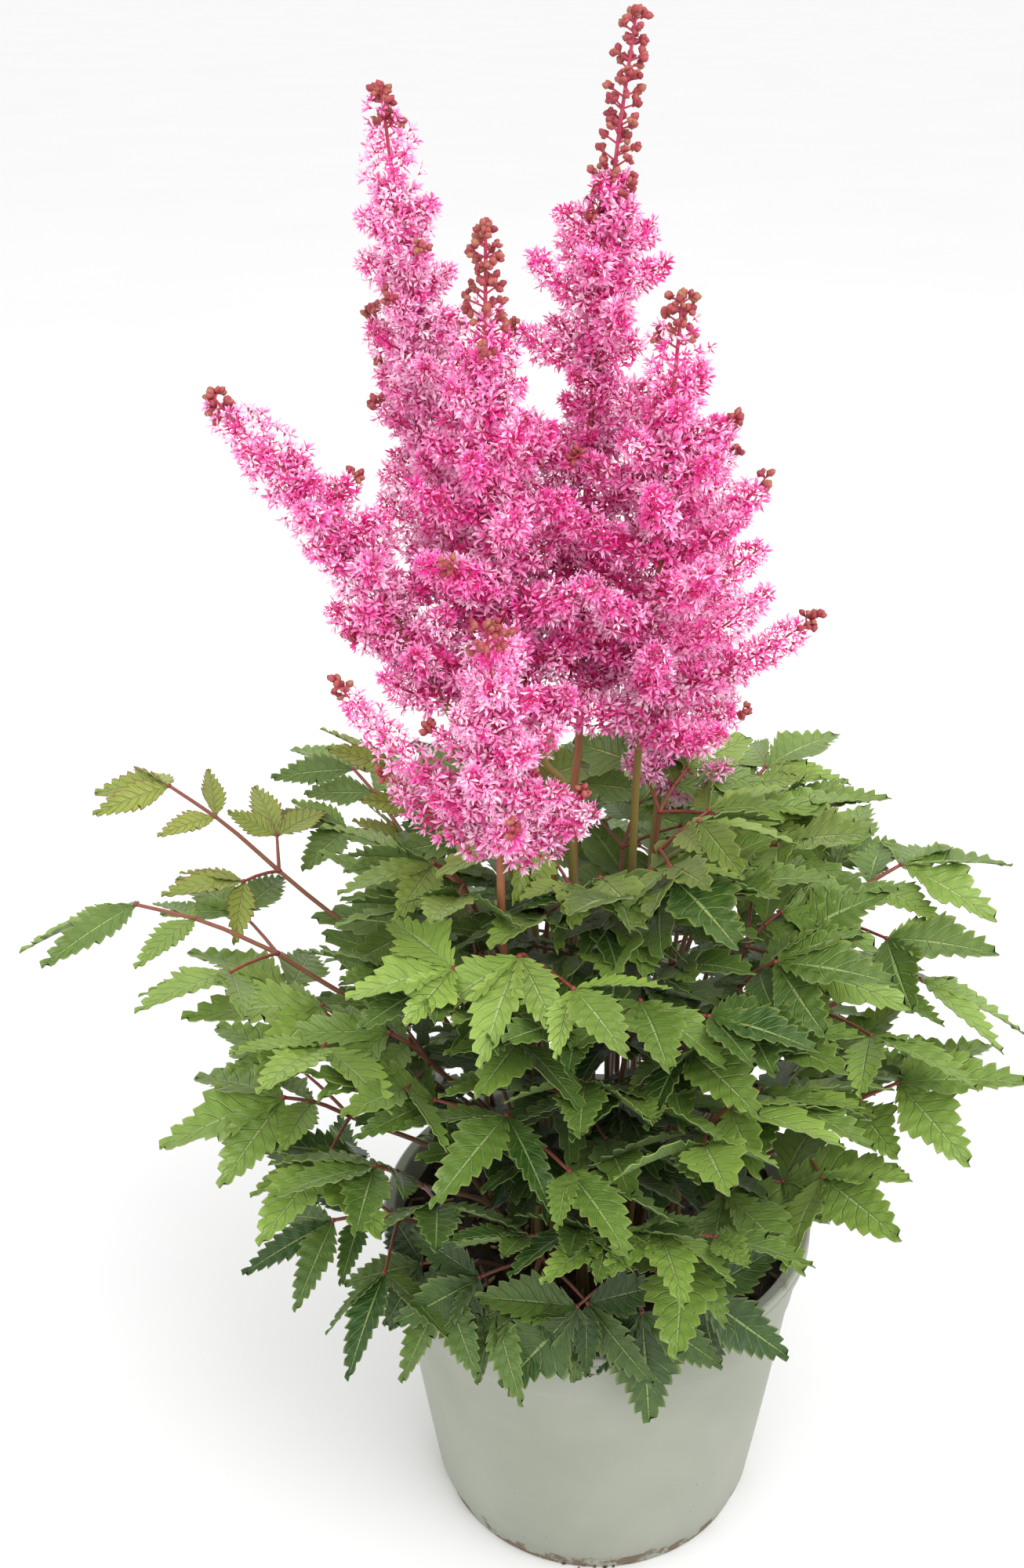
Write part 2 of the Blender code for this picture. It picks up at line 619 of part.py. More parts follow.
def add_sprays(crowd, bodies):
    """Each side spray where it is clear of the other nodes, turned or shortened to be so."""
    for plume in PLUMES:
        for root, middle, tip, radius in spray_routes(plume):
            for shorter, turn in [(s, t) for s in (1.0, 0.84, 0.68, 0.54, 0.42) for t in (0, 14, -14, 28, -28)]:
                turned = Matrix.Rotation(math.radians(turn), 3, "Z")
                route = (root, root + turned @ (middle - root) * shorter, root + turned @ (tip - root) * shorter)
                if (route[2] - root).length < 12:
                    continue
                if crowd.is_clear(plume.name, *spray(route, radius, BUD_RADIUS, SPRAY_SIDES, CLEARANCE)):
                    made = spray(route, radius, BUD_RADIUS, SPRAY_SIDES)
                    bodies[plume.name].append(made)
                    crowd.add(plume.name, *made)
                    break


def grow_leaves(crowd):
    """All stalks first, then each blade swung, rolled or made smaller until it is clear."""
    swings = ((0, 0), (10, 0), (-10, 0), (0, 14), (0, -14), (20, 0), (-20, 0), (14, 20), (-14, -20), (32, 0), (-32, 0))
    bodies = {}
    limbs = {leaf.name: leaf_limbs(leaf) for leaf in LEAVES}
    for name, parts in limbs.items():
        bodies[name] = []
        for points, radii, (root, *_) in parts:
            crowd.add(name, *tube([*points, root], [*radii, RACHIS_RADIUS], RACHIS_SIDES))
    for leaf in sorted(LEAVES, key=lambda one: one.tip[0] * math.sin(math.radians(one.azimuth))):
        for points, radii, (root, way, up, fingers) in limbs[leaf.name]:
            for scale, swing in [(s, w) for s in (1.0, 0.86, 0.72, 0.58, 0.44) for w in swings]:
                bend = (math.radians(swing[0]), math.radians(swing[1]))
                if crowd.is_clear(leaf.name, *blade(root, way, up, fingers, bend, scale, CLEARANCE)):
                    made = blade(root, way, up, fingers, bend, scale)
                    crowd.add(leaf.name, *made)
                    bodies[leaf.name].append(limb(points, radii, made))
                    break
    return bodies


def unite(bodies, finish):
    for name, solids in bodies.items():
        objects = [new_object(name if i == 0 else f"{name}_{i}", *solid, finish) for i, solid in enumerate(solids)]
        combine(objects[0], "UNION", objects[1:])


def main():
    clear_scene()
    crowd = Crowd()
    feet = [(*plume.foot, STEM_RADIUS) for plume in PLUMES]
    for leaf in LEAVES:
        foot = leaf_axes(leaf)[0]
        feet.append((foot.x, foot.y, PETIOLE_RADIUS))
    for obj in (build_pot(), build_soil(feet)):
        obj.data.calc_loop_triangles()
        points = [vert.co / MM for vert in obj.data.vertices]
        crowd.add(obj.name, points, [tuple(face.vertices) for face in obj.data.loop_triangles])
    plumes = {plume.name: [plume_stem(plume), plume_tip(plume)] for plume in PLUMES}
    for name, solids in plumes.items():
        for solid in solids:
            crowd.add(name, *solid)
    leaves = grow_leaves(crowd)
    add_sprays(crowd, plumes)
    unite(plumes, material("florets", (0.80, 0.16, 0.42), 0.7))
    unite(leaves, material("leaf_green", (0.09, 0.20, 0.05), 0.55))


main()
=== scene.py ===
import json
import logging
import math
import random
from dataclasses import dataclass, field
from enum import Enum

import bmesh
import bpy
from mathutils import Matrix, Vector, noise

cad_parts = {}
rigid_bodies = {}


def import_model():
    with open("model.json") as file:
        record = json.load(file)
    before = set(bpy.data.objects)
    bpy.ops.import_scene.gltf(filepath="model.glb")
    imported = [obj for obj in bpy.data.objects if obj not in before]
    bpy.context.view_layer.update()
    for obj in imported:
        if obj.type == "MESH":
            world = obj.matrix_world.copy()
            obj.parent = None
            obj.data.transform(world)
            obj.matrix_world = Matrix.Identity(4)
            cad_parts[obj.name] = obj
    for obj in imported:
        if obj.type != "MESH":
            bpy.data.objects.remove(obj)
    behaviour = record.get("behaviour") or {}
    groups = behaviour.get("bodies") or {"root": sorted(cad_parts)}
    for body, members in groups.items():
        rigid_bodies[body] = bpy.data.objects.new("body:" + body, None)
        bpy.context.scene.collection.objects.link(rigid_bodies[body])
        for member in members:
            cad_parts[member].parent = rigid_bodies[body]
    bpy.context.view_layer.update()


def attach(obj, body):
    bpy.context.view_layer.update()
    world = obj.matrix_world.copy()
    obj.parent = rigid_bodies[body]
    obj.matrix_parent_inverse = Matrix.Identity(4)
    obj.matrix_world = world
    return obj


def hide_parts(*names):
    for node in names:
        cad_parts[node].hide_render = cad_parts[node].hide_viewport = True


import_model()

logging.basicConfig(level=logging.INFO, format="%(message)s")
log = logging.getLogger("astilbe")

# Shapes are in millimetres unless their docstring says metres, and finishes work in metres.
MM = 0.001
UP = Vector((0, 0, 1))
GOLDEN_ANGLE = math.radians(137.5)
# A little over a full turn in radians, for a draw that may face any way.
ANY_TURN = 6.3
# The peat's top, the depth of the hole for each stem, and how far a stem stands upright above it.
SOIL_TOP_Z = 134.0
HOLE_DEPTH = 13.0
UPRIGHT = 7.0
# The side veins on each half of a leaflet, and how far they slant forwards on their way to its edge.
SIDE_VEINS = 8.0
VEIN_SLANT = 1.7

Pair = tuple[float, float]
Point = tuple[float, float, float]
Colour = tuple[float, float, float]
Face = tuple[int, ...]
Socket = bpy.types.NodeSocket
Material = bpy.types.Material


class Form(Enum):
    """The leaf forms of the plant: how wide their leaflets are and how far apart they stand."""

    LONG = "long"
    PLAIN = "plain"
    BROAD = "broad"
    YOUNG = "young"


class Part(Enum):
    """What a point of a growth stands for; the number is stored on the point."""

    STALK = 0
    FIRST = 1
    SECOND = 2


class Number:
    """A number that may change over a surface. Arithmetic on it adds Math nodes."""

    def __init__(self, shader: "Shader", socket: Socket) -> None:
        """Wraps an output socket.

        Args:
            shader: The shader that the socket belongs to.
            socket: The output that gives the number.
        """
        self.shader = shader
        self.socket = socket

    def _math(self, operation: str, *values: "Number | float", clamp: bool = False) -> "Number":
        """Adds one Math node.

        Args:
            operation: What the node does.
            *values: What it works on, in order.
            clamp: Whether its result is held between 0 and 1.

        Returns:
            The result.
        """
        links = {i: v.socket if isinstance(v, Number) else v for i, v in enumerate(values)}
        settings = {"operation": operation, "use_clamp": clamp}
        return Number(self.shader, self.shader.node("ShaderNodeMath", settings, links).outputs[0])

    def __add__(self, other: "Number | float") -> "Number":
        """The sum."""
        return self._math("ADD", self, other)

    __radd__ = __add__

    def __sub__(self, other: "Number | float") -> "Number":
        """The difference."""
        return self._math("SUBTRACT", self, other)

    def __rsub__(self, other: float) -> "Number":
        """The difference, from a plain number."""
        return self._math("SUBTRACT", other, self)

    def __mul__(self, other: "Number | float") -> "Number":
        """The product."""
        return self._math("MULTIPLY", self, other)

    __rmul__ = __mul__

    def __abs__(self) -> "Number":
        """The size without its sign."""
        return self._math("ABSOLUTE", self)

    def fract(self) -> "Number":
        """The part after the point."""
        return self._math("FRACT", self)

    def clamp(self) -> "Number":
        """The number held between 0 and 1."""
        return self._math("ADD", self, 0.0, clamp=True)

    def step(self, low: float, high: float) -> "Number":
        """A smooth rise from 0 at low to 1 at high; low may be above high.

        Args:
            low: Where the result is 0.
            high: Where the result is 1.

        Returns:
            The mask between 0 and 1.
        """
        settings = {"interpolation_type": "SMOOTHSTEP", "clamp": True}
        if low < high:
            node = self.shader.node("ShaderNodeMapRange", settings,
                                    {"Value": self.socket, "From Min": low, "From Max": high})
            return Number(self.shader, node.outputs[0])
        return 1 - self.step(high, low)


@dataclass(frozen=True)
class Mound:
    """The mass of leaves, an egg round the pot's axis; what lies inside it gets painted shade.

    Its radius and heights are in metres. Edge and heart are shares of the way out from its middle,
    squared: the painted shade begins at the one and is deepest at the other.
    """

    radius: float = 0.128
    middle_height: float = 0.170
    half_height: float = 0.190
    edge: float = 0.90
    heart: float = 0.25
    deepest: float = 0.76


class Shader:
    """One material's node tree, with short ways to add nodes to it."""

    def __init__(self, name: str) -> None:
        """Makes an empty material.

        Args:
            name: The material's name.
        """
        self.material = bpy.data.materials.new(name)
        self.material.use_nodes = True
        self.tree = self.material.node_tree
        self.tree.nodes.clear()

    def node(self, kind: str, settings: dict, inputs: dict) -> bpy.types.Node:
        """Adds a node.

        Args:
            kind: The node's type.
            settings: Its properties, set first. "stops" fills a colour ramp.
            inputs: Input names or numbers, with a value, a socket or a Number each.

        Returns:
            The new node.
        """
        made = self.tree.nodes.new(kind)
        for name, value in settings.items():
            if name == "stops":
                ramp = made.color_ramp
                while len(ramp.elements) < len(value):
                    ramp.elements.new(0.5)
                for element, (place, colour) in zip(ramp.elements, value):
                    element.position = place
                    element.color = (*colour, 1)
            else:
                setattr(made, name, value)
        for name, value in inputs.items():
            if isinstance(value, Number):
                value = value.socket
            if isinstance(value, Socket):
                self.tree.links.new(value, made.inputs[name])
            else:
                made.inputs[name].default_value = value
        return made

    def place(self) -> Socket:
        """The surface point in the object's own metres."""
        return self.node("ShaderNodeTexCoord", {}, {}).outputs["Object"]

    def split(self, vector: Socket) -> tuple[Number, Number, Number]:
        """The three numbers of a vector."""
        node = self.node("ShaderNodeSeparateXYZ", {}, {0: vector})
        return tuple(Number(self, output) for output in node.outputs)

    def attribute(self, name: str) -> Number:
        """A number stored on the mesh."""
        node = self.node("ShaderNodeAttribute", {"attribute_name": name}, {})
        return Number(self, node.outputs["Fac"])

    def noise(self, scale: float, detail: float = 3, roughness: float = 0.55,
              vector: Socket | None = None) -> Number:
        """Cloudy noise.

        Args:
            scale: Its cells per metre.
            detail: Its number of octaves.
            roughness: How strong the fine octaves are.
            vector: Where it is read, or None for the object's own place.

        Returns:
            The noise between 0 and 1.
        """
        inputs = {"Vector": vector or self.place(), "Scale": scale, "Detail": detail, "Roughness": roughness}
        return Number(self, self.node("ShaderNodeTexNoise", {}, inputs).outputs["Fac"])

    def painted_mound_shade(self) -> Number:
        """How much painted shade a point gets for lying deep inside the mound of leaves, as if shaded by
        them.

        Returns:
            The share of painted shade: 0 outside the mound, and most at its heart.
        """
        # Painted shade: points deep inside the mound of leaves are darkened, as if the leaves round them
        # blocked the light.
        mound = Mound()
        x, y, z = self.split(self.place())
        across = (x * x + y * y) * (1 / mound.radius ** 2)
        above = (z - mound.middle_height) * (1 / mound.half_height)
        return (across + above * above).step(mound.edge, mound.heart) * mound.deepest

    def ramp(self, value: Number, stops: list[tuple[float, Colour]]) -> Socket:
        """A colour looked up between the given stops."""
        node = self.node("ShaderNodeValToRGB", {"stops": stops}, {0: value})
        return node.outputs["Color"]

    def mix(self, factor: Number, low: Socket | Colour, high: Socket | Colour) -> Socket:
        """Two colours mixed.

        Args:
            factor: The share of the second colour.
            low: The colour where the factor is 0.
            high: The colour where the factor is 1.

        Returns:
            The mixed colour's socket.
        """
        settings = {"data_type": "RGBA"}
        links = {0: factor}
        for i, colour in ((6, low), (7, high)):
            links[i] = colour if isinstance(colour, Socket) else (*colour, 1)
        return self.node("ShaderNodeMix", settings, links).outputs[2]

    def finish(self, colour: Socket, roughness: "Number | float", bump: Number | None = None,
               bump_height: float = 0.0002, **constants: float) -> Material:
        """Ends the tree in one Principled shader.

        Args:
            colour: The base colour.
            roughness: The roughness.
            bump: A height, or None for a smooth surface.
            bump_height: The height in metres of a bump of 1.
            **constants: Other sockets of the shader, with underscores for spaces.

        Returns:
            The finished material.
        """
        inputs = {"Base Color": colour, "Roughness": roughness}
        if bump is not None:
            node = self.node("ShaderNodeBump", {}, {"Height": bump, "Distance": bump_height, "Strength": 1.0})
            inputs["Normal"] = node.outputs["Normal"]
        inputs.update({name.replace("_", " "): value for name, value in constants.items()})
        shader = self.node("ShaderNodeBsdfPrincipled", {}, inputs)
        self.node("ShaderNodeOutputMaterial", {}, {"Surface": shader.outputs[0]})
        return self.material


@dataclass(frozen=True)
class PetalFinish:
    """Soft petals: hot pink at their roots, paler at their tips, and varied from floret to floret.

    The shares say how much a floret's tint, the way along a petal and clouds lighten it. A floret's tint
    holds its own tone and painted light that grows with its distance from the axis.
    """

    deep: Colour = (0.62, 0.003, 0.13)
    hot: Colour = (0.90, 0.05, 0.38)
    pink: Colour = (0.95, 0.30, 0.63)
    pale: Colour = (0.99, 0.72, 0.86)
    calyx: Colour = (0.50, 0.03, 0.12)
    floret_share: float = 0.86
    petal_share: float = 0.56
    cloud_share: float = 0.5
    held_back: float = 0.46
    roughness: float = 0.6

    def make(self) -> Material:
        """Builds the material.

        Returns:
            The petals' and stamens' material.
        """
        shader = Shader("petals")
        tint = shader.attribute("tint")
        along = shader.attribute("along")
        cloud = shader.noise(scale=42, detail=2)
        paleness = tint * self.floret_share + along * self.petal_share + cloud * self.cloud_share
        value = (paleness - self.held_back).clamp()
        stops = [(0.0, self.deep), (0.30, self.hot), (0.62, self.pink), (1.0, self.pale)]
        colour = shader.mix(along.step(0.06, 0.0), shader.ramp(value, stops), self.calyx)
        return shader.finish(colour, self.roughness, Specular_IOR_Level=0.15, Sheen_Weight=0.1)


@dataclass(frozen=True)
class BudFinish:
    """Closed buds: brownish rose, olive on some, paler at their tips."""

    dark: Colour = (0.25, 0.014, 0.035)
    rose: Colour = (0.42, 0.065, 0.075)
    olive: Colour = (0.38, 0.17, 0.085)
    bud_share: float = 0.8
    speckle_share: float = 0.5
    held_back: float = 0.15
    roughness: float = 0.5
    speckle_height: float = 0.0001

    def make(self) -> Material:
        """Builds the material.

        Returns:
            The buds' material.
        """
        shader = Shader("buds")
        tint = shader.attribute("tint")
        speckle = shader.noise(scale=900, detail=2)
        stops = [(0.0, self.dark), (0.5, self.rose), (1.0, self.olive)]
        value = tint * self.bud_share + speckle * self.speckle_share - self.held_back
        return shader.finish(shader.ramp(value.clamp(), stops), self.roughness, speckle, self.speckle_height)


@dataclass(frozen=True)
class StalkFinish:
    """Stems, petioles and spray axes: green to crimson as their redness says, with fine ribs."""

    name: str
    green: Colour = (0.190, 0.260, 0.050)
    tan: Colour = (0.36, 0.165, 0.065)
    crimson: Colour = (0.52, 0.028, 0.115)
    # Painted shade: the dark colour that stalks deep inside the mound are mixed towards, by the shade share.
    shade: Colour = (0.030, 0.022, 0.008)
    streaks: float = 0.34
    shade_share: float = 0.9
    roughness: float = 0.45
    rib_height: float = 0.00015

    def make(self) -> Material:
        """Builds the material.

        Returns:
            The stalks' material.
        """
        shader = Shader(self.name)
        redness = shader.attribute("redness")
        streak = shader.noise(scale=260, detail=3)
        fine = shader.noise(scale=1400, detail=2)
        stops = [(0.0, self.green), (0.5, self.tan), (1.0, self.crimson)]
        colour = shader.ramp((redness + streak * self.streaks - self.streaks / 2).clamp(), stops)
        # Painted shade deep inside the mound of leaves.
        colour = shader.mix(shader.painted_mound_shade() * self.shade_share, colour, self.shade)
        return shader.finish(colour, self.roughness, fine + streak, self.rib_height)


@dataclass(frozen=True)
class LeafFinish:
    """Leaf blades: satin green with pale ribs and side veins, duller and lighter underneath.

    One share lightens blades with each metre to the plant's right, as painted light from the lamp on
    that side, and another darkens the lowest ones, as painted shade. Those two, and the shares of a
    leaf's own tint, of clouds and of patches, add up to a place between dark and light. Blades deep
    inside the mound are mixed towards the shade colour, as painted shade.
    """

    name: str
    dark: Colour = (0.020, 0.070, 0.006)
    light: Colour = (0.280, 0.430, 0.070)
    vein: Colour = (0.42, 0.54, 0.19)
    under: Colour = (0.13, 0.21, 0.05)
    margin: Colour = (0.40, 0.44, 0.11)
    # Painted shade: the colour that blades deep inside the mound are mixed towards.
    shade: Colour = (0.010, 0.026, 0.004)
    margin_share: float = 0.35
    # Painted light: lighter with each metre to the right. Painted shade: darker towards the bottom.
    painted_light_right: float = 1.2
    painted_low_shade: float = 0.26
    leaf_share: float = 1.05
    cloud_share: float = 0.45
    patch_share: float = 0.3
    held_back: float = 0.33
    fine_veins: float = 3.0
    fine_slant: float = 3.1
    relief: float = 0.0008

    def make(self) -> Material:
        """Builds the material.

        Returns:
            The blades' material.
        """
        shader = Shader(self.name)
        tint = shader.attribute("tint")
        under = shader.attribute("underside")
        along, beside, _ = shader.split(shader.node("ShaderNodeUVMap", {"uv_map": "blade"}, {}).outputs[0])
        away = abs(beside - 0.5) * 2
        phase = (along * SIDE_VEINS - away * VEIN_SLANT).fract()
        side_vein = abs(phase - 0.5).step(0.40, 0.49) * away.step(0.95, 0.5)
        fine_phase = (along * SIDE_VEINS * self.fine_veins - away * self.fine_slant).fract()
        fine_vein = abs(fine_phase - 0.5).step(0.38, 0.5) * 0.28
        rib = away.step(0.085, 0.025)
        cloud = shader.noise(scale=38, detail=3)
        patch = shader.noise(scale=240, detail=3)
        right, _, above = shader.split(shader.place())
        # Painted light on the plant's right side, and painted shade on the lowest blades.
        painted_light_and_shade = right.clamp() * self.painted_light_right - above.step(0.24, 0.14) * self.painted_low_shade
        value = tint * self.leaf_share + cloud * self.cloud_share + patch * self.patch_share + painted_light_and_shade
        blade = shader.ramp((value - self.held_back).clamp(), [(0.0, self.dark), (1.0, self.light)])
        veins = (rib + side_vein * 0.5 + fine_vein * 0.6).clamp()
        blade = shader.mix(veins * 0.75, blade, self.vein)
        blade = shader.mix(away.step(0.86, 0.99) * self.margin_share, blade, self.margin)
        colour = shader.mix(under, blade, shader.mix(veins * 0.5, self.under, self.vein))
        # Painted shade deep inside the mound of leaves.
        colour = shader.mix(shader.painted_mound_shade(), colour, self.shade)
        bumps = patch * 0.25 - rib * 0.8 - side_vein * 0.6 - fine_vein * 0.5
        roughness = under * 0.20 + patch * 0.16 + 0.30
        return shader.finish(colour, roughness, bumps, self.relief, Specular_IOR_Level=0.50)


@dataclass(frozen=True)
class PotFinish:
    """Matte grey-green plastic with a fine grain, faint scratches and soil smeared along its foot.

    Its heights are in metres: where the foot's dirt ends, and where the dust under the rim begins.
    """

    plastic: Colour = (0.272, 0.290, 0.231)
    faded: Colour = (0.318, 0.333, 0.271)
    soil: Colour = (0.13, 0.085, 0.05)
    foot_dirt_top: float = 0.020
    rim_dust_bottom: float = 0.137
    scratch_scale: Point = (30, 30, 900)
    relief: float = 0.00012

    def make(self) -> Material:
        """Builds the material.

        Returns:
            The pot's material.
        """
        shader = Shader("pot_plastic_worn")
        _, _, height = shader.split(shader.place())
        grain = shader.noise(scale=2600, detail=2)
        broad = shader.noise(scale=14, detail=3)
        colour = shader.mix(broad.step(0.35, 0.7), self.plastic, self.faded)
        smear = shader.noise(scale=70, detail=5, roughness=0.7)
        speck = shader.noise(scale=420, detail=2)
        foot = height.step(self.foot_dirt_top, 0.002)
        dirt = (smear + foot * 0.24).step(0.66, 0.76) * height.step(self.foot_dirt_top, 0.006)
        splash = speck.step(0.735, 0.76) * height.step(0.09, 0.03)
        near_rim = height.step(self.rim_dust_bottom + 0.002, 0.150)
        rim_dust = (smear + near_rim * 0.14).step(0.70, 0.82) * height.step(self.rim_dust_bottom, 0.142)
        mask = (dirt * 0.85 + splash * 0.7 + rim_dust * 0.5).clamp()
        colour = shader.mix(mask, colour, self.soil)
        roughness = mask * 0.35 + broad * 0.12 + 0.40
        drawn_out = {"Vector": shader.place(), "Scale": self.scratch_scale}
        scratch = shader.node("ShaderNodeMapping", {}, drawn_out)
        lines = shader.noise(scale=1, detail=2, roughness=0.6, vector=scratch.outputs[0])
        bumps = grain * 0.35 + mask * 0.9 - lines.step(0.70, 0.78) * 0.25
        return shader.finish(colour, roughness, bumps, self.relief, Specular_IOR_Level=0.42)


@dataclass(frozen=True)
class PeatFinish:
    """Moist peat: nearly black, crumbly, with brown fibre in places."""

    wet: Colour = (0.009, 0.006, 0.004)
    brown: Colour = (0.055, 0.030, 0.016)
    relief: float = 0.0018

    def make(self) -> Material:
        """Builds the material.

        Returns:
            The peat's material.
        """
        shader = Shader("peat_crumbs")
        coarse = shader.noise(scale=160, detail=5, roughness=0.7)
        fine = shader.noise(scale=900, detail=4, roughness=0.7)
        colour = shader.mix((coarse * 0.6 + fine * 0.6).step(0.42, 0.85), self.wet, self.brown)
        return shader.finish(colour, fine * 0.3 + 0.62, coarse + fine * 0.6, self.relief)


@dataclass(frozen=True)
class ChipFinish:
    """Loose bits on the peat: from black crumbs to tan bark and pale fibre."""

    name: str
    stops: tuple[tuple[float, Colour], ...]
    grain_share: float = 0.3
    roughness: float = 0.8
    relief: float = 0.0003

    def make(self) -> Material:
        """Builds the material.

        Returns:
            The bits' material.
        """
        shader = Shader(self.name)
        tint = shader.attribute("tint")
        grain = shader.noise(scale=1500, detail=3)
        value = (tint + grain * self.grain_share - self.grain_share / 2).clamp()
        return shader.finish(shader.ramp(value, list(self.stops)), self.roughness, grain, self.relief)


class Growth:
    """Stalks and the places of what grows on them, gathered for one Geometry Nodes tree."""

    def __init__(self, name: str) -> None:
        """Starts an empty growth.

        Args:
            name: The finished piece's name.
        """
        self.name = name
        self.points: list[Vector] = []
        self.edges: list[tuple[int, int]] = []
        self.kinds: list[int] = []
        self.radii: list[float] = []
        self.redness: list[float] = []
        self.turns: list[Vector] = []
        self.sizes: list[Vector] = []
        self.tints: list[float] = []
        self.variants: list[int] = []

    def _add(self, point: Vector, kind: Part, radius: float, redness: float, turn: Vector,
             size: Vector, tint: float, variant: int) -> None:
        """Stores one point with all its values.

        Args:
            point: Its place in millimetres.
            kind: What it stands for.
            radius: The stalk's radius there, in millimetres.
            redness: The stalk's redness there.
            turn: The repeated shape's turn, as three angles.
            size: The repeated shape's scale along each of its axes.
            tint: The repeated shape's place between its finish's colours.
            variant: The repeated shape's number in its library.
        """
        self.points.append(point * MM)
        self.kinds.append(kind.value)
        self.radii.append(radius * MM)
        self.redness.append(redness)
        self.turns.append(turn)
        self.sizes.append(size)
        self.tints.append(tint)
        self.variants.append(variant)

    def stalk(self, route: list[Vector], radii: Pair, redness: Pair) -> None:
        """Adds a tapering stalk.

        Args:
            route: Its points in millimetres.
            radii: Its radius at its root and at its end, in millimetres.
            redness: Its redness at its root and at its end.
        """
        last = len(route) - 1
        for i, point in enumerate(route):
            share = i / last
            self._add(point, Part.STALK, radii[0] + (radii[1] - radii[0]) * share,
                      redness[0] + (redness[1] - redness[0]) * share, Vector(), Vector((1, 1, 1)), 0.5, 0)
            if i:
                self.edges.append((len(self.points) - 2, len(self.points) - 1))

    def item(self, part: Part, point: Vector, axes: Matrix, size: Vector | float, tint: float,
             variant: int) -> None:
        """Adds one repeated shape.

        Args:
            part: Which of the two libraries it comes from.
            point: Its place in millimetres.
            axes: Its turn, as a 3 by 3 matrix.
            size: Its scale, one number or one for each of its axes.
            tint: Its place between its finish's colours.
            variant: Its number in the library.
        """
        scale = size if isinstance(size, Vector) else Vector((size, size, size))
        self._add(point, part, 1.0, 0.5, Vector(axes.to_euler()), scale, tint, variant)

    def base_mesh(self) -> bpy.types.Object:
        """The points and edges as a mesh that carries every value as an attribute.

        Returns:
            The mesh's object, linked to the scene.
        """
        mesh = bpy.data.meshes.new(self.name)
        mesh.from_pydata(self.points, self.edges, [])
        for name, values in {"kind": self.kinds, "variant": self.variants}.items():
            mesh.attributes.new(name, "INT", "POINT").data.foreach_set("value", values)
        for name, values in {"radius": self.radii, "redness": self.redness, "tint": self.tints}.items():
            mesh.attributes.new(name, "FLOAT", "POINT").data.foreach_set("value", values)
        for name, vectors in {"turn": self.turns, "size": self.sizes}.items():
            flat = [number for vector in vectors for number in vector]
            mesh.attributes.new(name, "FLOAT_VECTOR", "POINT").data.foreach_set("vector", flat)
        made = bpy.data.objects.new(self.name, mesh)
        bpy.context.scene.collection.objects.link(made)
        return made


